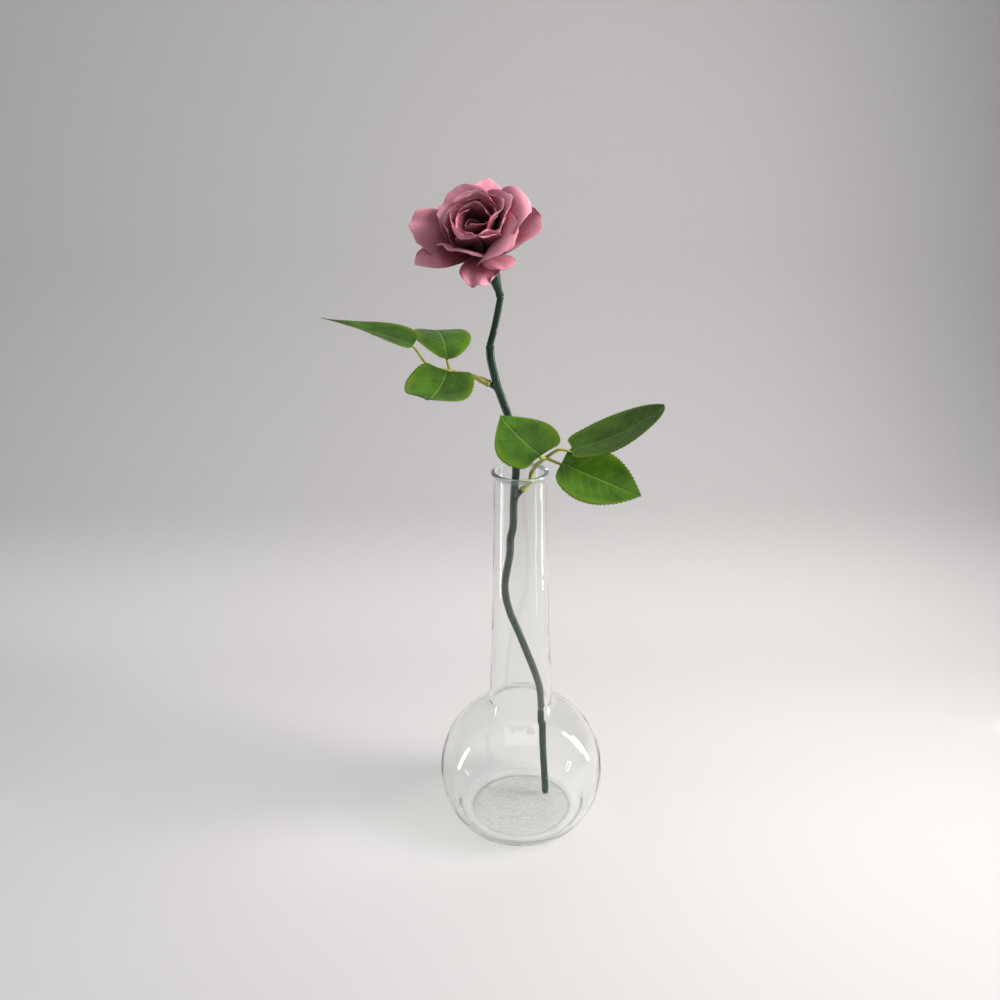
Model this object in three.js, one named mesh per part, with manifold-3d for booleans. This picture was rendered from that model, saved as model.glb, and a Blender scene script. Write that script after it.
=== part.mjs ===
// A single artificial rose standing in a clear glass bud vase.
// Millimetres, +Z up. The vase stands on z = 0 about the Z axis, its front towards -Y.
import * as THREE from 'three';
import { mergeVertices } from 'three/addons/utils/BufferGeometryUtils.js';
import Module from 'manifold-3d';

const wasm = await Module();
wasm.setup();

// ---------------------------------------------------------------- driving dimensions
const CLEARANCE = 0.3;            // gap left between pieces that touch

const VASE = {
  height: 218.4, globeRadius: 47.4, globeCentre: 31.9, footRadius: 33.2, heelHeight: 2.6,
  neckTop: 205, neckTopRadius: 14.3, neckFootRadius: 17.8, neckEase: 1.35,
  shoulderFillet: 7, neckWall: 1.4, globeWall: 2.5, floor: 5.2, floorRadius: 27,
  lipRadius: 15.5, lipBead: 1, sides: 32,
};

const STEM = {
  radius: 2.05, upperRadius: 1.7, sides: 8, overrun: 0.9, pinRadius: 0.8, pinLength: 7,
  footDepth: 8.7, forwardLean: 0.0885,   // y of the foot, and how far y falls for each mm of height
};

// The stem's way from its foot to the bloom, as (x, z); a new span starts at each crease.
const STEM_SPANS = [
  [[15.2, VASE.floor + 0.5], [14.8, 15]],
  [[14.8, 15], [13.4, 38], [12.6, 60], [11.9, 75], [11, 85]],
  [[11, 85], [7.9, 96], [3.7, 108.5], [-1.5, 123.5], [-5.2, 133.5], [-7.8, 143.5]],
  [[-7.8, 143.5], [-8.6, 153], [-7.4, 162.5], [-5.8, 172], [-5.4, 182.5]],
  [[-5.4, 182.5], [-3.9, 190], [-3.6, 202], [-3, 214]],
  [[-3, 214], [-2.4, 224], [-3.7, 237], [-6.2, 252], [-8.9, 260.5], [-11.4, 268]],
  [[-11.4, 268], [-13.2, 275.5], [-14.8, 283.5], [-15.1, 290.5]],
  [[-15.1, 290.5], [-13, 298.3], [-11, 307.5], [-9.7, 314.5]],
];
const UPPER_SPANS = 1;            // the last span is the thinner neck below the bloom

const PEG = { radius: 0.95, length: 3.6, nibRadius: 1.45 };
const STALK = { radius: 1.1, ribRadius: 0.7, socketRadius: 1.7, socketBeyondPeg: 3 };

const BLOOM = {
  root: new THREE.Vector3(-15.6, -24, 335), leanLeft: 16.5, leanForward: 36,
  thickness: 0.7, rows: 5, columns: 4, coreRadius: 8.5, coreTop: 17, coreSides: 12,
};

const CALYX = {
  cupDepth: 6, cupRadius: 5.4, pinRadius: 1.2, pinHeight: 4.5, sides: 12, overlap: 1.5, topRadius: 1.9,
  sepals: 5, sepalLength: 10, sepalWidth: 5, sepalRise: 3.5, sepalThickness: 0.7, firstSepal: 225,
};

// Petals from the outside in. Lengths and widths in mm, angles in degrees: az is the way the petal
// faces round the bloom, lean its angle from the bloom's axis at root and tip, curl and roll the
// turning back of its end and of its side margins, cup its hollow across, tuck the turn that sets
// one margin inside the next petal, skew how much further one side of the end reaches.
const PETALS = [
  { az: 190, length: 32.5, width: 14.5, lean: [59, 77], curl: 10, cup: 12, roll: 30, lift: 4, wave: 0.5 },
  { az: 164, length: 34.5, width: 22, lean: [50, 62], curl: 10, cup: 10, roll: 25, lift: 4.5, wave: 2,
    skew: -0.09, tuck: 26 },
  { az: 100, length: 30.5, width: 24, lean: [40, 58], curl: 50, cup: 15, roll: 30, lift: 4 },
  { az: 68, length: 31.5, width: 22, lean: [44, 64], curl: 10, cup: 5, roll: 75, lift: 3, point: 0.06 },
  { az: 6, length: 34, width: 33, lean: [32, 54], curl: 115, cup: 14, roll: 40, lift: 4, curlFrom: 0.56,
    pinch: 0, tuck: 6 },
  { az: 340, length: 30, width: 35, lean: [54, 76], curl: 20, cup: 18, roll: 10, lift: 4.5, wave: 0.8 },
  { az: 291, length: 21, width: 14, lean: [66, 88], curl: 0, cup: -5, roll: 10, lift: 4 },
  { az: 255, length: 23.5, width: 18.5, lean: [64, 98], curl: 10, cup: -14, roll: 10, lift: 4.5,
    wave: 2.2, skew: -0.05 },
  { az: 306, length: 30.5, width: 28, lean: [26, 50], curl: 95, cup: 10, roll: 5, lift: 4,
    curlFrom: 0.4, pinch: 0, tuck: -20, skew: 0.1 },
  { az: 213, length: 22.5, width: 31, lean: [32, 46], curl: 50, cup: 0, roll: 35, lift: 3.5,
    curlFrom: 0.75, pinch: 0, tuck: -12 },
  { az: 138, length: 27, width: 20, lean: [24, 48], curl: 30, cup: 35, roll: 20, lift: 5, point: 0.04 },
  { az: 92, length: 27, width: 26, lean: [22, 50], curl: 60, cup: 35, roll: 20, lift: 5 },
  { az: 16, length: 28, width: 30, lean: [22, 48], curl: 50, cup: 35, roll: 20, lift: 5 },
  { az: 235, length: 26.5, width: 34, lean: [14, 30], curl: 170, cup: 60, roll: 5, lift: 5,
    curlFrom: 0.8, pinch: 0 },
  { az: 292, length: 25.5, width: 30, lean: [18, 40], curl: 100, cup: 50, roll: 5, lift: 4.5,
    curlFrom: 0.82, pinch: 0 },
  { az: 10, length: 26, width: 29, lean: [14, 38], curl: 50, cup: 58, roll: 5, lift: 5 },
  { az: 75, length: 26, width: 29, lean: [14, 38], curl: 50, cup: 58, roll: 5, lift: 5 },
  { az: 145, length: 25, width: 30, lean: [14, 34], curl: 70, cup: 58, roll: 5, lift: 5 },
  { az: 190, length: 22, width: 27, lean: [0, 24], curl: 15, cup: 78, roll: 0, lift: 5, out: 4 },
  { az: 325, length: 23, width: 27, lean: [0, 24], curl: 60, cup: 78, roll: 0, lift: 6, out: 4.5 },
  { az: 80, length: 22, width: 27, lean: [0, 22], curl: 10, cup: 78, roll: 0, lift: 5, out: 4.5 },
  { az: 150, length: 17, width: 15, lean: [-2, 8], curl: 0, cup: 90, roll: 0, lift: 5, out: 4 },
  { az: 330, length: 16, width: 15, lean: [-2, 8], curl: 0, cup: 90, roll: 0, lift: 5, out: 4 },
];

// Leaflets by spray: where the blade starts and ends, its width, and the angles of its pose:
// roll about its rib, twist from base to tip, droop along the rib, fold of each half upwards.
// belly is under 1 where the blade is broadest near its base, lobe how far the base's lobes reach
// back, roundBase and taper how full (0) or pointed (1 and more) base and tip are.
// way holds the points that its rib passes between the fork and the blade.
const LEAF = { thickness: 0.6, teeth: 12, tooth: 0.95, endWidth: 0.4, ribGap: 1.5 };
const UPPER_LEAFLETS = [
  { name: 'upper_leaflet_end', base: [-53, -11, 290], tip: [-100, -1, 301.5], width: 26,
    roll: 0, twist: -24, droop: 5, fold: 12, belly: 0.62, lobe: 2.5, roundBase: 0.6, taper: 1.8,
    way: [[-46, -11, 279.1]] },
  { name: 'upper_leaflet_back', base: [-36.4, -8, 281.5], tip: [-45, 26, 288], width: 30,
    roll: -5, twist: 0, droop: 62, fold: 2, belly: 1, lobe: 1, roundBase: 0.7, taper: 0.55,
    way: [[-36, -10, 278]] },
  { name: 'upper_leaflet_front', base: [-36.2, -17, 277.6], tip: [-46, -53, 275], width: 32,
    roll: 10, twist: 0, droop: -70, fold: 6, belly: 0.62, lobe: 4, roundBase: 0.5, taper: 0.42,
    way: [] },
];
const LOWER_LEAFLETS = [
  { name: 'lower_leaflet_left', base: [9.4, -38, 240.3], tip: [-10.3, -22, 256], width: 35,
    roll: 20, twist: 0, droop: -35, fold: 3, belly: 0.66, lobe: 3.5, roundBase: 0.6, taper: 1,
    way: [] },
  { name: 'lower_leaflet_end', base: [25, -36, 242.6], tip: [69.1, -37, 265.2], width: 32,
    roll: -12, twist: 0, droop: -32, fold: 7, belly: 0.92, lobe: 4, roundBase: 0.42, taper: 0.8,
    way: [[18.5, -36.6, 242.7]] },
  { name: 'lower_leaflet_right', base: [19.6, -39, 236.5], tip: [57.5, -53, 224.3], width: 32,
    roll: -36, twist: 0, droop: -10, fold: 5, belly: 0.75, lobe: 2, roundBase: 0.6, taper: 0.9,
    way: [] },
];

// The way of each spray's main stalk from its socket to the fork.
const UPPER_RACHIS = [[-27, -12.5, 274.5], [-35.2, -12.5, 276.3]];
const LOWER_RACHIS = [
  [5.7, -10, 220.6], [6.5, -12.9, 223.4], [8, -20, 228.7], [12, -34, 237.6],
];

const MATERIALS = {
  glass: new THREE.MeshStandardMaterial({ color: 0xdfe8e4, roughness: 0.05, metalness: 0 }),
  stemGreen: new THREE.MeshStandardMaterial({ color: 0x1d4434, roughness: 0.4, metalness: 0 }),
  calyxGreen: new THREE.MeshStandardMaterial({ color: 0x2f5f45, roughness: 0.5, metalness: 0 }),
  stalkYellow: new THREE.MeshStandardMaterial({ color: 0xa8a83c, roughness: 0.45, metalness: 0 }),
  leafCloth: new THREE.MeshStandardMaterial({ color: 0x3f7a22, roughness: 0.8, metalness: 0 }),
  petalCloth: new THREE.MeshStandardMaterial({ color: 0xb0606f, roughness: 0.85, metalness: 0 }),
};

const radians = THREE.MathUtils.degToRad;

// ---------------------------------------------------------------- solids and meshes

function solidOf(geometry) {
  const bare = geometry.clone();
  bare.deleteAttribute('normal');
  bare.deleteAttribute('uv');
  const merged = mergeVertices(bare, 1e-5);
  return new wasm.Manifold(new wasm.Mesh({
    numProp: 3,
    vertProperties: new Float32Array(merged.attributes.position.array),
    triVerts: new Uint32Array(merged.index.array),
  }));
}

function geometryOf(solid) {
  const mesh = solid.getMesh();
  const geometry = new THREE.BufferGeometry();
  geometry.setAttribute('position', new THREE.BufferAttribute(mesh.vertProperties, 3));
  geometry.setIndex(new THREE.BufferAttribute(mesh.triVerts, 1));
  geometry.computeVertexNormals();
  return geometry;
}

function joined(geometries) {
  return geometries.map(solidOf).reduce((whole, next) => whole.add(next));
}

// A solid without the small closed hollows that its crossing pieces shut in.
function outermost(solid) {
  return solid.decompose().reduce((most, next) => (next.volume() > most.volume() ? next : most));
}

function namedMesh(name, geometry, material) {
  const mesh = new THREE.Mesh(geometry, material);
  mesh.name = name;
  return mesh;
}

// A lathe about +Z. The profile is a list of [radius, z] that starts and ends on the axis.
function turned(profile, sides) {
  const outline = profile.map(([radius, z]) => new THREE.Vector2(radius, z));
  return new THREE.LatheGeometry(outline, sides).rotateX(Math.PI / 2);
}

// Points of an arc in the (radius, z) plane, angles in degrees from the +radius direction.
function arc(radius, z, size, from, to, count) {
  return Array.from({ length: count + 1 }, (_, i) => {
    const angle = radians(from + (to - from) * i / count);
    return [radius + size * Math.cos(angle), z + size * Math.sin(angle)];
  });
}

function circle(radius, sides) {
  const shape = new THREE.Shape();
  for (let i = 0; i < sides; i += 1) {
    const angle = 2 * Math.PI * i / sides;
    const go = i === 0 ? 'moveTo' : 'lineTo';
    shape[go](radius * Math.cos(angle), radius * Math.sin(angle));
  }
  return shape;
}

function rod(points, radius, sides, steps) {
  const path = points.length === 2 ? new THREE.LineCurve3(...points) : new THREE.CatmullRomCurve3(points);
  return new THREE.ExtrudeGeometry(circle(radius, sides), { steps, extrudePath: path, bevelEnabled: false });
}

// A closed blade of even thickness about a grid of points, rows[i][j], with each square split
// along the same diagonal on both faces.
function blade(rows, thickness) {
  const high = rows.length;
  const wide = rows[0].length;
  const positions = [];
  for (const side of [0.5, -0.5]) {
    for (let i = 0; i < high; i += 1) {
      for (let j = 0; j < wide; j += 1) {
        const along = rows[Math.min(i + 1, high - 1)][j].clone().sub(rows[Math.max(i - 1, 0)][j]);
        const across = rows[i][Math.min(j + 1, wide - 1)].clone().sub(rows[i][Math.max(j - 1, 0)]);
        const normal = across.cross(along).normalize();
        positions.push(...rows[i][j].clone().addScaledVector(normal, side * thickness));
      }
    }
  }
  const at = (face, i, j) => face * high * wide + i * wide + j;
  const triangles = [];
  for (let i = 0; i < high - 1; i += 1) {
    for (let j = 0; j < wide - 1; j += 1) {
      triangles.push(at(0, i, j), at(0, i, j + 1), at(0, i + 1, j + 1));
      triangles.push(at(0, i, j), at(0, i + 1, j + 1), at(0, i + 1, j));
      triangles.push(at(1, i, j), at(1, i + 1, j + 1), at(1, i, j + 1));
      triangles.push(at(1, i, j), at(1, i + 1, j), at(1, i + 1, j + 1));
    }
  }
  const rim = [];
  for (let j = 0; j < wide - 1; j += 1) rim.push([0, j]);
  for (let i = 0; i < high - 1; i += 1) rim.push([i, wide - 1]);
  for (let j = wide - 1; j > 0; j -= 1) rim.push([high - 1, j]);
  for (let i = high - 1; i > 0; i -= 1) rim.push([i, 0]);
  rim.forEach(([i, j], k) => {
    const [nextI, nextJ] = rim[(k + 1) % rim.length];
    triangles.push(at(0, i, j), at(1, i, j), at(1, nextI, nextJ));
    triangles.push(at(0, i, j), at(1, nextI, nextJ), at(0, nextI, nextJ));
  });
  const geometry = new THREE.BufferGeometry();
  geometry.setAttribute('position', new THREE.Float32BufferAttribute(positions, 3));
  geometry.setIndex(triangles);
  geometry.computeVertexNormals();
  return geometry;
}

// ---------------------------------------------------------------- vase

function neckRadius(z) {
  const { neckTop, neckTopRadius, neckFootRadius, neckEase } = VASE;
  const down = Math.max(0, (neckTop - z) / (neckTop - shoulder(0).centre[1]));
  return neckTopRadius + (neckFootRadius - neckTopRadius) * down ** neckEase;
}

// The hollow fillet between globe and neck, for the outside (inset 0) or the inside of the wall.
function shoulder(globeInset) {
  const neckInset = globeInset === 0 ? 0 : VASE.neckWall;
  const globe = VASE.globeRadius - globeInset;
  const size = VASE.shoulderFillet + neckInset;
  const radius = VASE.neckFootRadius - neckInset + size;
  const rise = Math.sqrt((globe + size) ** 2 - radius ** 2);
  const turn = THREE.MathUtils.radToDeg(Math.atan2(rise, radius));
  return { centre: [radius, VASE.globeCentre + rise], size, turn };
}

function vaseProfile() {
  const { globeRadius, globeCentre, globeWall, heelHeight, footRadius, floor, floorRadius } = VASE;
  const { height, lipRadius, lipBead, neckTop, neckTopRadius, neckWall } = VASE;
  const heelAngle = THREE.MathUtils.radToDeg(Math.asin((heelHeight - globeCentre) / globeRadius));
  const outside = shoulder(0);
  const inside = shoulder(globeWall);
  const hollowRadius = globeRadius - globeWall;
  const floorAngle = THREE.MathUtils.radToDeg(Math.asin((floor + 3 - globeCentre) / hollowRadius));
  const neckHeights = [108, 135, 165, neckTop];
  return [
    [0, 0],
    [footRadius, 0],
    [footRadius + 2.6, 0.7],
    ...arc(0, globeCentre, globeRadius, heelAngle, outside.turn, 9),
    ...arc(...outside.centre, outside.size, 180 + outside.turn, 180, 3).slice(1),
    ...neckHeights.map((z) => [neckRadius(z), z]),
    [neckTopRadius, height - 5],
    [neckTopRadius + 0.3, height - 2.8],
    ...arc(lipRadius - lipBead, height - lipBead, lipBead, -45, 90, 3),
    ...arc(neckTopRadius - neckWall + lipBead, height - lipBead, lipBead, 90, 180, 2),
    ...neckHeights.toReversed().map((z) => [neckRadius(z) - neckWall, z]),
    ...arc(...inside.centre, inside.size, 180, 180 + inside.turn, 3),
    ...arc(0, globeCentre, hollowRadius, inside.turn, floorAngle, 8).slice(1),
    [floorRadius + 4, floor + 0.6],
    [floorRadius, floor],
    [0, floor],
  ];
}

function vase() {
  return turned(vaseProfile(), VASE.sides);
}

// ---------------------------------------------------------------- stem

// The whole stem lies in one plane that leans forward, so a height gives its y.
function onStem([x, z]) {
  return new THREE.Vector3(x, STEM.footDepth - STEM.forwardLean * (z - VASE.floor), z);
}

// Each span runs a little past its ends, which leaves the small crease of a bent moulded stem.
function stemSpan(span, radius) {
  const points = span.map(onStem);
  const first = points[0].clone().sub(points[1]).setLength(STEM.overrun);
  const last = points.at(-1).clone().sub(points.at(-2)).setLength(STEM.overrun);
  const isFoot = span === STEM_SPANS[0];
  const isTop = span === STEM_SPANS.at(-1);
  if (!isFoot) points[0].add(first);
  if (!isTop) points[points.length - 1].add(last);
  return rod(points, radius, STEM.sides, points.length === 2 ? 1 : points.length);
}

// A nib: the short stub on the stem that a leaf stalk plugs on to, with its thinner peg.
function nib({ start, end }) {
  const peg = end.clone().sub(start).setLength(PEG.length).add(end);
  return [rod([start, end], PEG.nibRadius, STEM.sides, 1), rod([start, peg], PEG.radius, STEM.sides, 1)];
}

const UPPER_NIB = { start: onStem([-11.4, 268]), end: new THREE.Vector3(-15.2, -14.6, 270) };
const LOWER_NIB = { start: onStem([-3.4, 206.5]), end: new THREE.Vector3(0.4, -9.2, 210.8) };
const STEM_TOP = onStem(STEM_SPANS.at(-1).at(-1));

function bloomAxis() {
  const left = Math.tan(radians(BLOOM.leanLeft));
  const forward = Math.tan(radians(BLOOM.leanForward));
  return new THREE.Vector3(-left, -forward, 1).normalize();
}

const CUP_FOOT = BLOOM.root.clone().addScaledVector(bloomAxis(), -CALYX.cupDepth);

// A point of the calyx's own axis, which runs from the stem's top to the foot of the cup.
function calyxPoint(distance) {
  const way = CUP_FOOT.clone().sub(STEM_TOP).normalize();
  return STEM_TOP.clone().addScaledVector(way, distance);
}

function stem() {
  const spans = STEM_SPANS.map((span, i) => {
    const upper = i >= STEM_SPANS.length - UPPER_SPANS;
    return stemSpan(span, upper ? STEM.upperRadius : STEM.radius);
  });
  const pin = rod([calyxPoint(-CALYX.overlap), calyxPoint(STEM.pinLength)], STEM.pinRadius, STEM.sides, 1);
  return geometryOf(joined([...spans, ...nib(UPPER_NIB), ...nib(LOWER_NIB), pin]));
}

// ---------------------------------------------------------------- bloom

// Turns a shape built about +Z at the origin on to the bloom's axis at its root.
function onBloomAxis() {
  const z = bloomAxis();
  const x = new THREE.Vector3(0, 1, 0).cross(z).normalize();
  const y = z.clone().cross(x);
  return new THREE.Matrix4().makeBasis(x, y, z).setPosition(BLOOM.root);
}

const STEPS = 24;                 // steps of the sums that follow a petal's curves

// Where a petal's centre line is after a share of its length: distance from the axis, and height.
function petalLine(petal, across, share) {
  const { length, lean, curl, curlFrom = 0.62, pinch = 0.15, out = 2.5, lift } = petal;
  const turnBack = curl * (1 - pinch * Math.exp(-((across / 0.22) ** 2)));
  let radius = out;
  let height = lift;
  for (let k = 0; k < STEPS; k += 1) {
    const t = share * (k + 0.5) / STEPS;
    const past = Math.max(0, (t - curlFrom) / (1 - curlFrom));
    const angle = radians(lean[0] + (lean[1] - lean[0]) * t + turnBack * past ** 2);
    radius += length * share / STEPS * Math.sin(angle);
    height += length * share / STEPS * Math.cos(angle);
  }
  return [radius, height];
}

// The petal's section across, for a half width of 1: hollow in the middle, margins turned back,
// and the whole tucked round, so that one margin lies inside the next petal and one outside.
function petalSection(petal, across, share) {
  const { cup, roll, tuck = 12 } = petal;
  let x = 0;
  let y = 0;
  for (let k = 0; k < STEPS; k += 1) {
    const s = across * (k + 0.5) / STEPS;
    const edge = Math.max(0, (Math.abs(s) - 0.55) / 0.45);
    const hollow = cup * s * (0.35 + 0.65 * share);
    const angle = radians(hollow - tuck - Math.sign(s) * roll * share ** 2 * edge ** 1.5);
    x += across / STEPS * Math.cos(angle);
    y += across / STEPS * Math.sin(angle);
  }
  return [x, y];
}

function petalPoint(petal, across, share) {
  const { width, lean, wave = 0, point = 0, skew = 0, az } = petal;
  const pointed = point * Math.exp(-((across / 0.16) ** 2)) * share ** 8;
  const skewed = skew * across * share ** 3;
  const t = share - 0.15 * share ** 3 * across ** 2 + pointed + skewed;
  const widest = 0.66;
  const grown = Math.sin(Math.min(share / widest, 1) * Math.PI / 2) ** 0.8;
  const fallen = 1 - 0.3 * Math.max(0, (share - widest) / (1 - widest)) ** 2;
  const half = width / 2 * (0.16 + 0.84 * grown) * fallen;
  const [radius, height] = petalLine(petal, across, t);
  const [x, y] = petalSection(petal, across, share);
  const ruffle = wave * Math.sin(2 * Math.PI * across + 1) * share ** 3 * (0.3 + 0.7 * Math.abs(across));
  const inward = half * y + ruffle;
  const angle = radians(lean[0] + (lean[1] - lean[0]) * t);
  const place = new THREE.Vector3(
    radius - inward * Math.cos(angle), half * x, height + inward * Math.sin(angle));
  return place.applyAxisAngle(new THREE.Vector3(0, 0, 1), radians(az));
}

function petalBlade(petal) {
  const rows = Array.from({ length: BLOOM.rows + 1 }, (_, i) => {
    const share = 1 - (1 - i / BLOOM.rows) ** 1.4;
    return Array.from({ length: BLOOM.columns + 1 }, (_, j) =>
      petalPoint(petal, 2 * j / BLOOM.columns - 1, share));
  });
  return blade(rows, BLOOM.thickness);
}

function bloom() {
  const { coreRadius, coreTop, coreSides } = BLOOM;
  const core = turned([
    [0, CLEARANCE], [coreRadius - 3.5, CLEARANCE], [coreRadius - 1.3, 5], [coreRadius, 10],
    [coreRadius - 0.5, 14], [coreRadius - 3.5, coreTop - 1], [0, coreTop],
  ], coreSides);
  const holeEnds = [0, CALYX.pinHeight + CLEARANCE].map((z) => new THREE.Vector3(0, 0, z));
  const pinHole = rod(holeEnds, CALYX.pinRadius + CLEARANCE, CALYX.sides, 1);
  const petals = PETALS.map(petalBlade);
  const whole = joined([core, ...petals]).subtract(solidOf(pinHole));
  return geometryOf(outermost(whole)).applyMatrix4(onBloomAxis());
}

// ---------------------------------------------------------------- calyx

// A sepal: a thin pointed blade that spreads from the cup's edge and lies up under the petals.
function sepal(index) {
  const { sepalLength, sepalWidth, sepalRise, sepalThickness, cupRadius, sepals, firstSepal } = CALYX;
  const rows = Array.from({ length: 4 }, (_, i) => {
    const share = i / 3;
    const half = sepalWidth / 2 * Math.cos(share * Math.PI / 2) ** 0.8 + 0.3;
    const radius = cupRadius - 2 + sepalLength * share;
    const height = -1.5 + sepalRise * share ** 1.5;
    return [-1, 0, 1].map((s) => new THREE.Vector3(radius, s * half, height - 0.5 * Math.abs(s)));
  });
  const azimuth = radians(firstSepal + 360 / sepals * index);
  return blade(rows, sepalThickness).rotateZ(azimuth);
}

function calyx() {
  const { cupDepth, cupRadius, pinRadius, pinHeight, sides, overlap, topRadius, sepals } = CALYX;
  const cup = turned([
    [0, -cupDepth - 1], [3.4, -cupDepth - 1], [4.3, -cupDepth + 0.6], [4.8, -3.6],
    [cupRadius - 0.2, -1.8], [cupRadius, -0.6], [cupRadius, 0],
    [pinRadius, 0], [pinRadius, pinHeight], [0, pinHeight],
  ], sides);
  const leaves = Array.from({ length: sepals }, (_, i) => sepal(i));
  const cupWithSepals = joined([cup, ...leaves]).transform(onBloomAxis().toArray());
  const length = CUP_FOOT.distanceTo(STEM_TOP);
  const toward = new THREE.Matrix4().makeRotationFromQuaternion(new THREE.Quaternion()
    .setFromUnitVectors(new THREE.Vector3(0, 0, 1), calyxPoint(1).sub(STEM_TOP)));
  const neck = turned([
    [0, -overlap], [topRadius, -overlap], [topRadius, 0.8], [topRadius - 0.15, 2.4],
    [2.5, 0.5 * length], [3.5, 0.8 * length], [4.2, length + 0.4], [1.4, length + overlap],
    [0, length + overlap],
  ], sides).applyMatrix4(toward.setPosition(STEM_TOP));
  const [below, top] = STEM_SPANS.at(-1).slice(-2).map(onStem);
  const stemWay = top.sub(below).normalize();
  const stemEnds = [-2 * topRadius, CLEARANCE].map((d) => STEM_TOP.clone().addScaledVector(stemWay, d));
  const stemSeat = rod(stemEnds, 2 * topRadius, STEM.sides, 1);
  const bore = rod([calyxPoint(-overlap), calyxPoint(STEM.pinLength + CLEARANCE)],
    STEM.pinRadius + CLEARANCE, STEM.sides, 1);
  return geometryOf(cupWithSepals.add(solidOf(neck)).subtract(joined([stemSeat, bore])));
}

// ---------------------------------------------------------------- leaflets and their stalks

// A leaflet's rib as an arc from base to tip, with the blade's own directions at each share of it.
function leafFrame(leaf, share) {
  const base = new THREE.Vector3(...leaf.base);
  const chord = new THREE.Vector3(...leaf.tip).sub(base);
  const length = chord.length();
  const forward = chord.clone().normalize();
  const level = forward.clone().cross(new THREE.Vector3(0, 0, 1)).normalize();
  const roll = radians(leaf.roll + leaf.twist * (share - 0.5));
  const side = level.applyAxisAngle(forward, -roll);
  const up = side.clone().cross(forward);
  const bend = radians(leaf.droop);
  const reach = bend === 0 ? 1 : Math.sin(bend / 2) / (bend / 2);
  const radius = length / (reach * bend);
  const angle = bend * (0.5 - share);
  const place = base.addScaledVector(forward, radius * (Math.sin(bend / 2) - Math.sin(angle)));
  place.addScaledVector(up, radius * (Math.cos(angle) - Math.cos(bend / 2)));
  const ahead = forward.clone().multiplyScalar(Math.cos(angle)).addScaledVector(up, Math.sin(angle));
  const normal = side.clone().cross(ahead);
  return { place, side, ahead, normal };
}

function leafRow(leaf, share, isTooth) {
  const { place, side, ahead, normal } = leafFrame(leaf, share);
  const sharpness = leaf.roundBase + (leaf.taper - leaf.roundBase) * share;
  const outline = Math.sin(Math.PI * share ** leaf.belly) ** sharpness;
  const tooth = isTooth ? LEAF.tooth * Math.sin(Math.PI * share) ** 0.3 : 0;
  const half = share === 0 || share === 1 ? LEAF.endWidth : leaf.width / 2 * outline + tooth;
  const early = share / 0.09;
  const back = leaf.lobe * early * Math.exp(1 - early);
  const fold = radians(leaf.fold);
  return [-1, -0.5, 0, 0.5, 1].map((s) => place.clone()
    .addScaledVector(side, s * half * Math.cos(fold))
    .addScaledVector(normal, Math.abs(s) * half * Math.sin(fold))
    .addScaledVector(ahead, -back * s * s));
}

function leaflet(leaf) {
  const rows = [];
  for (let i = 0; i < LEAF.teeth; i += 1) {
    rows.push(leafRow(leaf, i / LEAF.teeth, false));
    rows.push(leafRow(leaf, (i + 0.7) / LEAF.teeth, true));
  }
  rows.push(leafRow(leaf, 1, false));
  return namedMesh(leaf.name, blade(rows, LEAF.thickness), MATERIALS.leafCloth);
}

// The plastic rib runs from the fork to the blade and on below it, part of the way to the tip.
function ribPoints(leaf) {
  return [0, 0.12, 0.28, 0.45].map((share) => {
    const { place, normal } = leafFrame(leaf, share);
    return place.addScaledVector(normal, -LEAF.ribGap);
  });
}

// A stalk: the socket pushed on to the stem's peg, the rachis to the fork, a rib for each leaflet.
function stalk(peg, rachis, leaflets) {
  const way = peg.end.clone().sub(peg.start).normalize();
  const along = (distance) => peg.end.clone().addScaledVector(way, distance);
  const mouth = along(CLEARANCE);
  const socketEnd = along(CLEARANCE + PEG.length + STALK.socketBeyondPeg);
  const rachisStart = along(PEG.length + STALK.socketBeyondPeg - 2);
  const socket = rod([mouth, socketEnd], STALK.socketRadius, 8, 1);
  const bore = rod([peg.end, along(PEG.length + CLEARANCE)], PEG.radius + CLEARANCE, 8, 1);
  const points = rachis.map((point) => new THREE.Vector3(...point));
  const main = rod([rachisStart, socketEnd, ...points], STALK.radius, 7, 3 * points.length);
  const ribs = leaflets.map((leaf) => {
    const bend = leaf.way.map((point) => new THREE.Vector3(...point));
    return rod([points.at(-1), ...bend, ...ribPoints(leaf)], STALK.ribRadius, 6, 8);
  });
  return geometryOf(joined([socket, main, ...ribs]).subtract(solidOf(bore)));
}

// ---------------------------------------------------------------- assembly

const rose = new THREE.Group();
rose.add(namedMesh('vase', vase(), MATERIALS.glass));
rose.add(namedMesh('stem', stem(), MATERIALS.stemGreen));
rose.add(namedMesh('calyx', calyx(), MATERIALS.calyxGreen));
rose.add(namedMesh('bloom', bloom(), MATERIALS.petalCloth));

const upperStalk = stalk(UPPER_NIB, UPPER_RACHIS, UPPER_LEAFLETS);
const lowerStalk = stalk(LOWER_NIB, LOWER_RACHIS, LOWER_LEAFLETS);
rose.add(namedMesh('upper_stalk', upperStalk, MATERIALS.stalkYellow));
rose.add(namedMesh('lower_stalk', lowerStalk, MATERIALS.stalkYellow));
for (const leaf of [...UPPER_LEAFLETS, ...LOWER_LEAFLETS]) {
  rose.add(leaflet(leaf));
}

export default rose;
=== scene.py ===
# %% [markdown]
# # A cloth rose in a clear glass bud vase
# The object is an artificial rose. Its stem and leaf stalks are moulded plastic, its petals and
# leaflets are dyed and printed cloth, and it stands in a blown glass flask with a long neck.
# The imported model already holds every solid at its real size. This lesson dresses it: each piece is
# built again with a fine surface in the same place, and each gets a material worked out from what
# the real thing is made of.

# %% Load the frame
import math

import bpy
import numpy as np
from mathutils import Matrix, Vector


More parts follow.
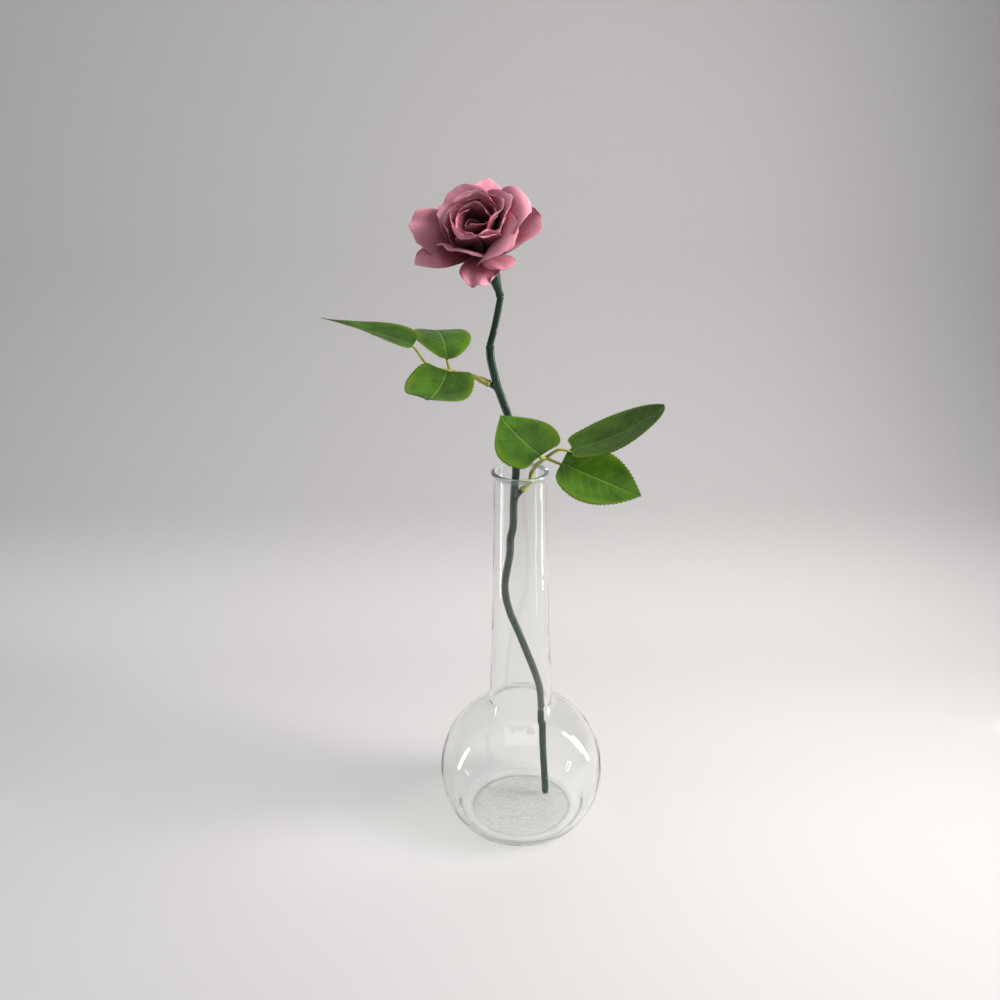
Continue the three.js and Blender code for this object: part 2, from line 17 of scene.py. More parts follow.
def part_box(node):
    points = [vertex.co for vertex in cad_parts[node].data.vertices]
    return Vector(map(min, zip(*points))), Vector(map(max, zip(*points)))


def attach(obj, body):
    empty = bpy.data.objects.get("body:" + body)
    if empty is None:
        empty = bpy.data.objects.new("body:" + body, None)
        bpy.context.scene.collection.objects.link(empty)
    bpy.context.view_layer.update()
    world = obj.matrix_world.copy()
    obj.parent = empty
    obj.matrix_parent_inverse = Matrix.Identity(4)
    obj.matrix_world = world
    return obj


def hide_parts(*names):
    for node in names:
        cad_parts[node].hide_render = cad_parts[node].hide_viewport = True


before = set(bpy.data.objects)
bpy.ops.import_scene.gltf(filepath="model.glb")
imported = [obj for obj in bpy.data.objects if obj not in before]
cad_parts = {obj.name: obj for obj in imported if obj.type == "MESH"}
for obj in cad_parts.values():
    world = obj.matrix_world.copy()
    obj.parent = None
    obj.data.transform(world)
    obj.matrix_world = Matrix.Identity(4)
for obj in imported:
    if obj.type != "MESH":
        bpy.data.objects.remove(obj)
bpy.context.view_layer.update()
MM = 0.001                        # the sizes below are in millimetres, Blender's are in metres
print("solid nodes:", ", ".join(sorted(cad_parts)))

# %% [markdown]
# ## Colours and nodes
# Colours are written as sRGB hex values, as they would be read off a sample card. Shaders work in
# linear light, so one function turns a hex value into what a socket wants. Another adds a node with
# its settings and links, so that a material reads as a list of what feeds what.

# %% Colours and nodes
def linear(hex_colour):
    """An sRGB hex colour as linear red, green, blue and alpha."""
    parts = [int(hex_colour[i:i + 2], 16) / 255 for i in (1, 3, 5)]
    return (*[p / 12.92 if p <= 0.04045 else ((p + 0.055) / 1.055) ** 2.4 for p in parts], 1.0)


def add_node(tree, kind, sockets=(), **settings):
    """Adds a node. Settings are its own properties, sockets the values of its inputs or what feeds them."""
    node = tree.nodes.new("ShaderNode" + kind)
    for name, value in settings.items():
        setattr(node, name, value)
    for key, value in dict(sockets).items():
        if isinstance(value, bpy.types.NodeSocket):
            tree.links.new(value, node.inputs[key])
        else:
            node.inputs[key].default_value = value
    return node


def new_material(name):
    """An empty node material, its tree and its output node."""
    material = bpy.data.materials.new(name)
    material.use_nodes = True
    tree = material.node_tree
    tree.nodes.clear()
    return material, tree, add_node(tree, "OutputMaterial")


print("dusty rose in linear light:", [round(c, 3) for c in linear("#8a4f58")])

# %% [markdown]
# ## Meshes from grids
# Glass, stems, petals and leaflets are all surfaces that follow a formula, so each is a grid of
# points: a row along the piece, a column across or round it. A grid keeps its UV map for free, in
# shares of the way along and across, and the materials use it to place veins and margins.

# %% A mesh from a grid
def grid_object(name, rows, material, around=False, capped=False):
    """A mesh object from points rows[i, j]. around joins the last column to the first."""
    high, wide = rows.shape[:2]
    points = rows.reshape(-1, 3) * MM
    columns = wide if around else wide - 1
    faces = []
    corners = []
    for i in range(high - 1):
        for j in range(columns):
            k = (j + 1) % wide
            faces.append((i * wide + j, i * wide + k, (i + 1) * wide + k, (i + 1) * wide + j))
            corners += [(j / columns, i / (high - 1)), ((j + 1) / columns, i / (high - 1)),
                        ((j + 1) / columns, (i + 1) / (high - 1)), (j / columns, (i + 1) / (high - 1))]
    if capped:
        faces.append(tuple(range(wide))[::-1])
        faces.append(tuple((high - 1) * wide + j for j in range(wide)))
        corners += [(0.5, 0.0)] * wide + [(0.5, 1.0)] * wide
    mesh = bpy.data.meshes.new(name)
    mesh.from_pydata(points.tolist(), [], faces)
    layer = mesh.uv_layers.new(name="along_across")
    layer.data.foreach_set("uv", [value for corner in corners for value in corner])
    mesh.polygons.foreach_set("use_smooth", [True] * len(mesh.polygons))
    mesh.materials.append(material)
    piece = bpy.data.objects.new(name, mesh)
    bpy.context.scene.collection.objects.link(piece)
    return piece


def grid_piece(name, rows, material, slot, **shape):
    """A grid that belongs to the part."""
    piece = grid_object(name, rows, material, **shape)
    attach(piece, "root")
    return piece


def thicken(piece, thickness):
    """Gives a sheet its thickness in millimetres, half of it on each side."""
    shell = piece.modifiers.new("thickness", "SOLIDIFY")
    shell.thickness = thickness * MM
    shell.offset = 0


def settle(piece):
    """Applies a piece's modifiers, so that it can be joined to others."""
    bpy.context.view_layer.objects.active = piece
    for modifier in list(piece.modifiers):
        bpy.ops.object.modifier_apply(modifier=modifier.name)


def joined_pieces(name, pieces):
    """One object from several: the first one takes in the others and the given name."""
    bpy.ops.object.select_all(action="DESELECT")
    for piece in pieces:
        piece.select_set(True)
    bpy.context.view_layer.objects.active = pieces[0]
    bpy.ops.object.join()
    pieces[0].name = name
    pieces[0].data.name = name
    return pieces[0]


print("a grid of 40 by 41 points makes", 39 * 40, "squares")

# %% Rows of lathes and tubes
def turned_rows(profile, sides):
    """Rows of a lathe about +Z from [radius, z] pairs."""
    profile = np.asarray(profile, float)
    angle = 2 * np.pi * np.arange(sides) / sides
    return np.stack([profile[:, :1] * np.cos(angle), profile[:, :1] * np.sin(angle),
                     np.repeat(profile[:, 1:], sides, axis=1)], axis=-1)


def smooth_path(points, count):
    """Points along a smooth curve through the given ones, evenly spread by length."""
    points = np.asarray(points, float)
    ends = np.vstack([2 * points[0] - points[1], points, 2 * points[-1] - points[-2]])
    curve = [points[0]]
    for a, b, c, d in zip(ends, ends[1:], ends[2:], ends[3:]):
        for t in np.linspace(0, 1, 13)[1:]:
            curve.append(0.5 * (2 * b + (c - a) * t + (2 * a - 5 * b + 4 * c - d) * t ** 2
                                + (3 * b - a - 3 * c + d) * t ** 3))
    curve = np.array(curve)
    length = np.concatenate([[0], np.cumsum(np.linalg.norm(np.diff(curve, axis=0), axis=1))])
    wanted = np.linspace(0, length[-1], count)
    return np.stack([np.interp(wanted, length, curve[:, k]) for k in range(3)], axis=1)


def tube_rows(path, radius, sides):
    """Rows of a tube along a path, with a radius for each point of it."""
    path = np.asarray(path, float)
    radius = np.broadcast_to(radius, len(path))
    along = np.gradient(path, axis=0)
    along /= np.linalg.norm(along, axis=1)[:, None]
    side = np.cross(along[0], [0.0, 1.0, 0.3])
    rows = []
    for place, way, r in zip(path, along, radius):
        side = side - way * np.dot(side, way)
        side /= np.linalg.norm(side)
        up = np.cross(way, side)
        angle = 2 * np.pi * np.arange(sides)[:, None] / sides
        rows.append(place + r * (np.cos(angle) * side + np.sin(angle) * up))
    return np.array(rows)


def tube_piece(name, path, radius, sides, material, slot):
    """A closed tube along a path."""
    return grid_piece(name, tube_rows(path, radius, sides), material, slot, around=True, capped=True)


def spun(rows, degrees):
    """Rows of points turned about +Z."""
    turn = math.radians(degrees)
    return rows @ np.array([[math.cos(turn), math.sin(turn), 0],
                            [-math.sin(turn), math.cos(turn), 0], [0, 0, 1]])


print("a tube of 40 rings of 12 points makes", 39 * 12, "squares and two caps")

# %% [markdown]
# ## The vase's glass: soda-lime, blown in a mould
# Soda-lime glass is clear with a faint green from iron, has an IOR of 1.52, and is so smooth that
# only the light tells where it is. A transparent shader alone would make a ghost of it, so it is a
# Principled shader that transmits. In two things it is helped along. Lamps shine straight through
# it, or the stem inside would stand in the dark. And light that is caught in the wall goes straight
# on after a few turns, because a render gives it up there, and the neck's foot would be a dark ring.

# %% Soda-lime glass
# The blown wall ripples slowly. The foot took the mould's pebbles and is full of seeds, little bubbles,
# drawn as dimples that dull it. The lip was melted round in the fire, and its milky grey green is painted
# light, in place of the light seen through the thick lip.
# The fillet is where light is caught most, so there it is let go one turn sooner.
GLASS_IOR = 1.52
SEED_MM, SEED_DEPTH_MM = 1.3, 0.4
RIPPLE_MM, RIPPLE_DEPTH_MM = 1000 / 45, 2             # 45 ripples to the metre
LAMPLIGHT = "#f1f2f1"                                 # what one skin lets through of a lamp's white


def soda_lime(name, tint, roughness, clear, seeded=0.0, turns=5.5):
    """Glass that lets one share of the light in and throws the rest back, seeded from 0 to 1.
    Light goes straight on once it has taken more turns than the number given."""
    material, tree, output = new_material(name)
    place = add_node(tree, "TexCoord")
    ripple = add_node(tree, "TexNoise", {"Vector": place.outputs["Object"], "Detail": 1.0,
                                         "Scale": 1 / (RIPPLE_MM * MM)})
    waves = add_node(tree, "Bump", {"Height": ripple.outputs["Fac"], "Strength": 0.12,
                                    "Distance": RIPPLE_DEPTH_MM * MM})
    seeds = add_node(tree, "TexVoronoi", {"Vector": place.outputs["Object"],
                                          "Scale": 1 / (SEED_MM * MM)}, feature="F1")
    dimples = add_node(tree, "Bump", {"Height": seeds.outputs["Distance"], "Strength": seeded,
                                      "Distance": SEED_DEPTH_MM * MM,
                                      "Normal": waves.outputs["Normal"]})
    body = add_node(tree, "BsdfPrincipled", {
        "Base Color": linear(tint), "Roughness": roughness, "IOR": GLASS_IOR,
        "Transmission Weight": clear, "Normal": dimples.outputs["Normal"]})
    rays = add_node(tree, "LightPath")
    caught = add_node(tree, "Math", {0: rays.outputs["Ray Depth"], 1: turns},
                      operation="GREATER_THAN")
    straight_on = add_node(tree, "BsdfTransparent", {"Color": linear("#ffffff")})
    let_go = add_node(tree, "MixShader", {"Fac": caught.outputs["Value"], 1: body.outputs["BSDF"],
                                          2: straight_on.outputs["BSDF"]})
    shade = add_node(tree, "BsdfTransparent", {"Color": linear(LAMPLIGHT)})
    both = add_node(tree, "MixShader", {"Fac": rays.outputs["Is Shadow Ray"],
                                        1: let_go.outputs["Shader"], 2: shade.outputs["BSDF"]})
    tree.links.new(both.outputs["Shader"], output.inputs["Surface"])
    return material


glass_finishes = [
    soda_lime("soda_lime_glass", "#fcfdfc", roughness=0.01, clear=1.0),
    # The lip's milky grey green is painted light, in place of the light seen through the thick lip.
    soda_lime("lip_glass_painted_light", "#b9c4c0", roughness=0.08, clear=0.72),
    soda_lime("pebbled_glass", "#e9ebe9", roughness=0.1, clear=0.88, seeded=1.0),
    soda_lime("drawn_soda_lime_glass", "#fcfdfc", roughness=0.01, clear=1.0, turns=4.5),
]
BLOWN, LIP_PAINTED_LIGHT, PEBBLED, DRAWN = range(len(glass_finishes))
print(len(glass_finishes), "finishes of one glass, with seeds of", SEED_MM, "mm at the foot")

# %% [markdown]
# ## The vase's shape: a lathe
# A flask: a globe, a hollow fillet, a long neck that narrows a little, and a rounded lip. It could be
# a subdivided cylinder, but its outline is a few arcs, so it is a lathe round a profile that goes up
# the outside and down the inside, and the wall is real. The foot carries the pebbled mould mark of
# such vases, which is real relief too: the bottom and the floor are both dimpled by a formula.

# %% The vase's sizes
VASE_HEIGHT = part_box("vase")[1].z / MM
VASE_SIDES = 160
GLOBE_RADIUS, GLOBE_CENTRE = 47.4, 31.9
FOOT_RADIUS, HEEL_HEIGHT = 33.2, 2.6
PUNT_RADIUS, PUNT_RIM, PUNT_RISE = 27, 0.25, 0.9      # the hollow under the foot
NECK_TOP, NECK_TOP_RADIUS, NECK_FOOT_RADIUS, NECK_EASE = 205, 14.3, 17.8, 1.35
FILLET = 7
NECK_WALL, GLOBE_WALL, FLOOR = 1.4, 2.5, 5.2
FLOOR_CORNER = 3                  # how far above the floor the globe's inside leaves its arc
LIP_RADIUS, LIP_BEAD = 15.5, 1
NEARLY_ZERO = 0.01                # a lathe's ring may not shrink to a point


def arc(centre, size, start, end, count):
    """Points of an arc in the (radius, z) plane, angles in degrees from the +radius direction."""
    angle = np.radians(np.linspace(start, end, count))
    return np.stack([centre[0] + size * np.cos(angle), centre[1] + size * np.sin(angle)], axis=1)


def shoulder(globe_inset):
    """Centre, size and angle of the hollow fillet between globe and neck."""
    inset = NECK_WALL if globe_inset else 0
    globe = GLOBE_RADIUS - globe_inset
    size = FILLET + inset
    radius = NECK_FOOT_RADIUS - inset + size
    rise = math.sqrt((globe + size) ** 2 - radius ** 2)
    return (radius, GLOBE_CENTRE + rise), size, math.degrees(math.atan2(rise, radius))


def neck_radius(z):
    """The neck's outside radius at a height: it narrows upwards, faster near its foot."""
    foot = shoulder(0)[0][1]
    return NECK_TOP_RADIUS + (NECK_FOOT_RADIUS - NECK_TOP_RADIUS) * (
        np.maximum(0, (NECK_TOP - z) / (NECK_TOP - foot))) ** NECK_EASE


outer_centre, outer_size, outer_turn = shoulder(0)
inner_centre, inner_size, inner_turn = shoulder(GLOBE_WALL)
print("the fillet ends", round(outer_centre[1], 1), "mm up, and the neck goes on to", NECK_TOP)

# %% The vase's outline
heel_turn = math.degrees(math.asin((HEEL_HEIGHT - GLOBE_CENTRE) / GLOBE_RADIUS))
hollow_radius = GLOBE_RADIUS - GLOBE_WALL
floor_turn = math.degrees(math.asin((FLOOR + FLOOR_CORNER - GLOBE_CENTRE) / hollow_radius))
neck_z = np.linspace(outer_centre[1] + 1, NECK_TOP, 40)
inside_radius = NECK_TOP_RADIUS - NECK_WALL
profile = np.vstack([
    [(r, PUNT_RIM + PUNT_RISE * (1 - (r / PUNT_RADIUS) ** 2))
     for r in np.linspace(NEARLY_ZERO, PUNT_RADIUS, 50)],
    [(PUNT_RADIUS + 1.5, 0.0), (PUNT_RADIUS + 3.5, 0.0), (FOOT_RADIUS - 0.6, 0.05),
     (FOOT_RADIUS + 1.2, 0.45)],
    arc((0, GLOBE_CENTRE), GLOBE_RADIUS, heel_turn, outer_turn, 60),
    arc(outer_centre, outer_size, 180 + outer_turn, 180, 12)[1:],
    np.stack([neck_radius(neck_z), neck_z], axis=1),
    [(NECK_TOP_RADIUS, VASE_HEIGHT - 5), (NECK_TOP_RADIUS + 0.1, VASE_HEIGHT - 3.4),
     (NECK_TOP_RADIUS + 0.4, VASE_HEIGHT - 2.5)],
    arc((LIP_RADIUS - LIP_BEAD, VASE_HEIGHT - LIP_BEAD - 0.05), LIP_BEAD, -50, 75, 9),
    arc((inside_radius + LIP_BEAD, VASE_HEIGHT - LIP_BEAD), LIP_BEAD, 100, 180, 7),
    [(inside_radius, VASE_HEIGHT - 5)],
    np.stack([neck_radius(neck_z) - NECK_WALL, neck_z], axis=1)[::-1],
    arc(inner_centre, inner_size, 180, 180 + inner_turn, 12)[1:],
    arc((0, GLOBE_CENTRE), hollow_radius, inner_turn, floor_turn, 60)[1:],
    [(PUNT_RADIUS + 4, FLOOR + 0.6), (PUNT_RADIUS + 2, FLOOR + 0.1)],
    [(r, FLOOR) for r in np.linspace(PUNT_RADIUS, NEARLY_ZERO, 30)],
])
print("outline of", len(profile), "points")

# %% The vase and its pebbled foot
PEBBLED_RADIUS, PEBBLE_FADE = 27.5, 6         # the pebbles stop at this radius and fade over the last 6
BOTTOM_RELIEF, FLOOR_RELIEF = 0.22, 0.12
PEBBLED_EDGE, PEBBLED_TOP = 31.5, FLOOR + 0.8
LIP_DEPTH = 2.7
DRAWN_FROM, DRAWN_TO = inner_centre[1] - 3 * inner_size, outer_centre[1] + 2

rows = turned_rows(profile, VASE_SIDES)
x, y, z = rows[..., 0], rows[..., 1], rows[..., 2]
radii = np.hypot(x, y)
pebbles = np.sin(x * 1.3 + 1.5 * np.sin(y * 0.7)) * np.sin(y * 1.2 + 1.4 * np.sin(x * 0.6))
on_bottom = (z < PUNT_RIM + PUNT_RISE + 0.15) & (radii < PEBBLED_RADIUS)
on_floor = (z < FLOOR + 0.05) & (radii < PEBBLED_RADIUS) & ~on_bottom
fade = np.clip((PEBBLED_RADIUS - radii) / PEBBLE_FADE, 0, 1)
rows[..., 2] += np.where(on_bottom, BOTTOM_RELIEF, 0) * pebbles * fade
rows[..., 2] += np.where(on_floor, FLOOR_RELIEF, 0) * np.roll(pebbles, 3, axis=1) * fade
vase = grid_piece("glass_vase", rows, glass_finishes[BLOWN], "vase_glass", around=True, capped=True)
for finish in glass_finishes[1:]:
    vase.data.materials.append(finish)
for face in vase.data.polygons:
    height, out = face.center.z / MM, math.hypot(*face.center.xy) / MM
    if DRAWN_FROM < height < DRAWN_TO:
        face.material_index = DRAWN
    elif height > VASE_HEIGHT - LIP_DEPTH:
        face.material_index = LIP_PAINTED_LIGHT
    elif height < PEBBLED_TOP and out < PEBBLED_EDGE:
        face.material_index = PEBBLED
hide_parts("vase")
print("vase:", len(vase.data.polygons), "faces,", round(VASE_HEIGHT, 1), "mm tall")

# %% [markdown]
# ## The stem: polyethylene, moulded straight and bent by hand
# The stem of a cloth rose is a soft plastic rod over a wire. Bending it leaves a pinched ring at each
# bend, where the plastic splits a little. It could be a curve with a bevel, but then the rings need
# pieces of their own, so it is a tube whose radius dips and swells at every bend. Two short nibs
# carry the leaf sprays, and a thin pin at the top goes into the bloom's green cup.

# %% Moulded green polyethylene
# Polyethylene has an IOR of about 1.5 and a waxy, half-bright skin, so its shine is a soft streak.
# The mould leaves fine lines along the rod, and handling leaves paler, duller patches.
PLASTIC_IOR = 1.5
PATCH_MM, MOULD_LINE_DEPTH_MM = 14, 0.3


def moulded_plastic(name, deep, pale, roughness, streak_mm):
    """Polyethylene from a mould: two near colours in cloudy patches and faint lines along the piece."""
    material, tree, output = new_material(name)
    place = add_node(tree, "TexCoord")
    stretched = add_node(tree, "Mapping", {"Vector": place.outputs["Object"], "Scale": (1.0, 1.0, 0.12)})
    streaks = add_node(tree, "TexNoise", {"Vector": stretched.outputs["Vector"],
                                          "Scale": 1 / (streak_mm * MM), "Detail": 3.0})
    patches = add_node(tree, "TexNoise", {"Vector": place.outputs["Object"], "Scale": 1 / (PATCH_MM * MM),
                                          "Detail": 4.0})
    both = add_node(tree, "Math", {0: streaks.outputs["Fac"], 1: patches.outputs["Fac"]},
                    operation="MULTIPLY")
    share = add_node(tree, "MapRange", {"Value": both.outputs["Value"], "From Min": 0.12,
                                        "From Max": 0.42})
    colour = add_node(tree, "Mix", {"Factor": share.outputs["Result"], 6: linear(deep),
                                    7: linear(pale)}, data_type="RGBA")
    dull = add_node(tree, "MapRange", {"Value": patches.outputs["Fac"], "From Min": 0.35,
                                       "From Max": 0.7, "To Min": roughness,
                                       "To Max": roughness + 0.14})
    relief = add_node(tree, "Bump", {"Height": streaks.outputs["Fac"], "Strength": 0.25,
                                     "Distance": MOULD_LINE_DEPTH_MM * MM})
    body = add_node(tree, "BsdfPrincipled", {
        "Base Color": colour.outputs[2], "Roughness": dull.outputs["Result"], "IOR": PLASTIC_IOR,
        "Normal": relief.outputs["Normal"]})
    tree.links.new(body.outputs["BSDF"], output.inputs["Surface"])
    return material


stem_green = moulded_plastic("green_polyethylene", "#0f261a", "#203d2c", 0.24, 1.2)
cup_green = moulded_plastic("calyx_polyethylene", "#12271c", "#24402f", 0.42, 1.6)
stalk_yellow = moulded_plastic("yellow_green_polyethylene", "#858a2c", "#b6b25a", 0.38, 1.4)
print("three colours of polyethylene")

# %% The stem's path and rings
STEM_RADIUS = 2.05
UPPER_RADIUS = 1.7
FOOT_DEPTH = 8.7
FORWARD_LEAN = 0.0885
RING_SWELL, RING_WIDTH = 0.14, 1.1            # the plastic swells beside a bend,
RING_PINCH, PINCH_WIDTH = 0.42, 1.1 / 2.6     # and is pinched in the middle of it
STEM_SPANS = [
    [(15.2, FLOOR + 0.5), (14.8, 15)],
    [(14.8, 15), (13.4, 38), (12.6, 60), (11.9, 75), (11, 85)],
    [(11, 85), (7.9, 96), (3.7, 108.5), (-1.5, 123.5), (-5.2, 133.5), (-7.8, 143.5)],
    [(-7.8, 143.5), (-8.6, 153), (-7.4, 162.5), (-5.8, 172), (-5.4, 182.5)],
    [(-5.4, 182.5), (-3.9, 190), (-3.6, 202), (-3, 214)],
    [(-3, 214), (-2.4, 224), (-3.7, 237), (-6.2, 252), (-8.9, 260.5), (-11.4, 268)],
    [(-11.4, 268), (-13.2, 275.5), (-14.8, 283.5), (-15.1, 290.5)],
    [(-15.1, 290.5), (-13, 298.3), (-11, 307.5), (-9.7, 314.5)],
]


def on_stem(x, z):
    """A point of the stem: the whole stem lies in one plane that leans forward."""
    return np.array([x, FOOT_DEPTH - FORWARD_LEAN * (z - FLOOR), z])


path = []
rings = [0.0]
for span in STEM_SPANS:
    points = [on_stem(x, z) for x, z in span]
    length = sum(np.linalg.norm(b - a) for a, b in zip(points, points[1:]))
    piece = smooth_path(points, max(4, round(length / 0.7)))
    path.extend(piece if not path else piece[1:])
    rings.append(rings[-1] + np.linalg.norm(np.diff(piece, axis=0), axis=1).sum())
path = np.array(path)
walked = np.concatenate([[0], np.cumsum(np.linalg.norm(np.diff(path, axis=0), axis=1))])
radius = np.interp(walked, [0, rings[-2] - 1, rings[-2] + 1, rings[-1]],
                   [STEM_RADIUS, STEM_RADIUS, UPPER_RADIUS, UPPER_RADIUS])
for ring in rings[1:-1]:
    radius = radius + RING_SWELL * np.exp(-((walked - ring) / RING_WIDTH) ** 2)
    radius = radius - RING_PINCH * np.exp(-((walked - ring) / PINCH_WIDTH) ** 2)
radius[:2] -= [0.35, 0.1]                     # the cut end is a little rounded
stem_tube = tube_piece("stem_rod", path, radius, 28, stem_green, "stem_plastic")
print("stem:", round(walked[-1]), "mm along its path, with", len(rings) - 2, "pinched rings")

# %% Nibs and pins on the stem
PEG_RADIUS, PEG_LENGTH, NIB_RADIUS = 0.95, 3.6, 1.45
NIB_SHARES = [0, 0.35, 0.6, 0.9, 1.0, 1.02]   # a nib's rings, along it and then out along its peg
NIB_RADII = [2.3, 1.75, 1.5, NIB_RADIUS, NIB_RADIUS - 0.1, PEG_RADIUS, PEG_RADIUS]
PIN_RADIUS, PIN_ROOT, PIN_LENGTH = 0.8, 1.5, 7
UPPER_NIB = (on_stem(-11.4, 268), np.array([-15.2, -14.6, 270]))
LOWER_NIB = (on_stem(-3.4, 206.5), np.array([0.4, -9.2, 210.8]))
STEM_TOP = on_stem(*STEM_SPANS[-1][-1])
BLOOM_ROOT = np.array([-15.6, -24, 335])
LEAN_LEFT, LEAN_FORWARD = math.radians(16.5), math.radians(36)
bloom_axis = np.array([-math.tan(LEAN_LEFT), -math.tan(LEAN_FORWARD), 1.0])
bloom_axis /= np.linalg.norm(bloom_axis)
CUP_DEPTH = 6
cup_foot = BLOOM_ROOT - CUP_DEPTH * bloom_axis


def way_between(start, end):
    """The direction from one point to another."""
    return (end - start) / np.linalg.norm(end - start)


stem_parts = [stem_tube]
for label, (start, end) in (("upper", UPPER_NIB), ("lower", LOWER_NIB)):
    places = [start + (end - start) * share for share in NIB_SHARES]
    places.append(end + way_between(start, end) * PEG_LENGTH)
    stem_parts.append(tube_piece(f"{label}_nib", places, NIB_RADII, 20, stem_green, "stem_plastic"))
calyx_way = way_between(STEM_TOP, cup_foot)
pin = [STEM_TOP - PIN_ROOT * calyx_way, STEM_TOP, STEM_TOP + PIN_LENGTH * calyx_way]
stem_parts.append(tube_piece("top_pin", pin, PIN_RADIUS, 12, stem_green, "stem_plastic"))
stem = joined_pieces("green_stem", stem_parts)
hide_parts("stem")
print("stem has", len(stem.data.polygons), "faces")

# %% [markdown]
# ## The calyx: a moulded cup with five sepals
# Below the petals sits a green cup on a flared neck, with pointed sepals that spread under the
# petals. The cup and neck are lathes, each about its own axis, and a sepal is a small pointed sheet.

# %% Calyx
def frame_about(axis, origin):
    """A rotation and origin that put +Z along an axis, with +X kept level."""
    z = axis / np.linalg.norm(axis)
    x = np.cross([0, 1, 0], z)
    x /= np.linalg.norm(x)
    return np.stack([x, np.cross(z, x), z], axis=1), np.asarray(origin, float)


def put(rows, placing):
    """Rows of points moved into a frame from frame_about."""
    rotation, origin = placing
    return rows @ rotation.T + origin


on_bloom = frame_about(bloom_axis, BLOOM_ROOT)
on_neck = frame_about(calyx_way, STEM_TOP)
CUP_RADIUS = 5.4
neck_length = np.linalg.norm(cup_foot - STEM_TOP)
neck_profile = [(0.9, 0.3), (1.85, 0.35), (2.0, 0.8), (2.0, 1.6), (1.78, 2.2), (1.8, 3.5),
                (2.5, 0.5 * neck_length), (3.5, 0.8 * neck_length), (4.3, neck_length + 0.6)]
cup_profile = [(0.5, -CUP_DEPTH - 1), (3.4, -CUP_DEPTH - 0.9), (4.3, -CUP_DEPTH + 0.6), (4.8, -3.6),
               (5.2, -1.8), (CUP_RADIUS, -0.6), (5.3, 0), (4.9, 0.1), (0.5, 0.1)]
calyx_parts = []
for name, outline, placing in (("calyx_neck", neck_profile, on_neck),
                               ("calyx_cup", cup_profile, on_bloom)):
    calyx_parts.append(grid_piece(name, put(turned_rows(outline, 32), placing), cup_green,
                                  "calyx_plastic", around=True, capped=True))
print("cup and neck, together", round(neck_length + CUP_DEPTH, 1), "mm long")

# %% Sepals
SEPALS, SEPAL_LENGTH, SEPAL_WIDTH, SEPAL_RISE = 5, 10, 5, 3.5
SEPAL_THICKNESS = 0.5
FIRST_SEPAL = 225                 # degrees round the bloom's axis
share = np.linspace(0, 1, 17)[:, None]
across = np.linspace(-1, 1, 9)[None, :]
half = SEPAL_WIDTH / 2 * np.cos(share * np.pi / 2) ** 0.8 + 0.15
out = 3.4 + SEPAL_LENGTH * share + 0 * across
for k in range(SEPALS):
    lift = -1.5 + SEPAL_RISE * share ** 1.5 - 0.5 * np.abs(across) + 0.2 * np.sin(9 * share + k)
    flat = np.stack([out, half * across, lift], axis=-1)
    turned = spun(flat, FIRST_SEPAL + 360 / SEPALS * k)
    sepal = grid_piece(f"sepal_{k + 1}", put(turned, on_bloom), cup_green, "calyx_plastic")
    thicken(sepal, SEPAL_THICKNESS)
    settle(sepal)
    calyx_parts.append(sepal)
calyx = joined_pieces("green_calyx", calyx_parts)
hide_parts("calyx")
print("calyx:", SEPALS, "sepals round a cup", 2 * CUP_RADIUS, "mm wide")

# %% [markdown]
# ## The bloom: dyed polyester satin, cut, starched and pressed over hot balls
# The petals of a cloth rose are cut from layered discs of fine polyester, dyed, stiffened and
# pressed hot, which gives each a hollow and a margin that turns back. Cloth simulation could settle
# them, but it can't press a petal, so each is a sheet bent by a formula: a centre line that leans
# out and curls, a hollow section, margins that roll back, and a cut edge that waves and nicks.
# The petals run from the outside in, with angles in degrees. az is the way one faces round the
# bloom, lean its angle from the bloom's axis at root and tip, curl and roll how far its end and its
# side margins turn back, and cup how hollow it is. tuck turns its section, so that one margin goes
# under its neighbour. lift and out say where its root sits, and wave, skew and point shape its end.

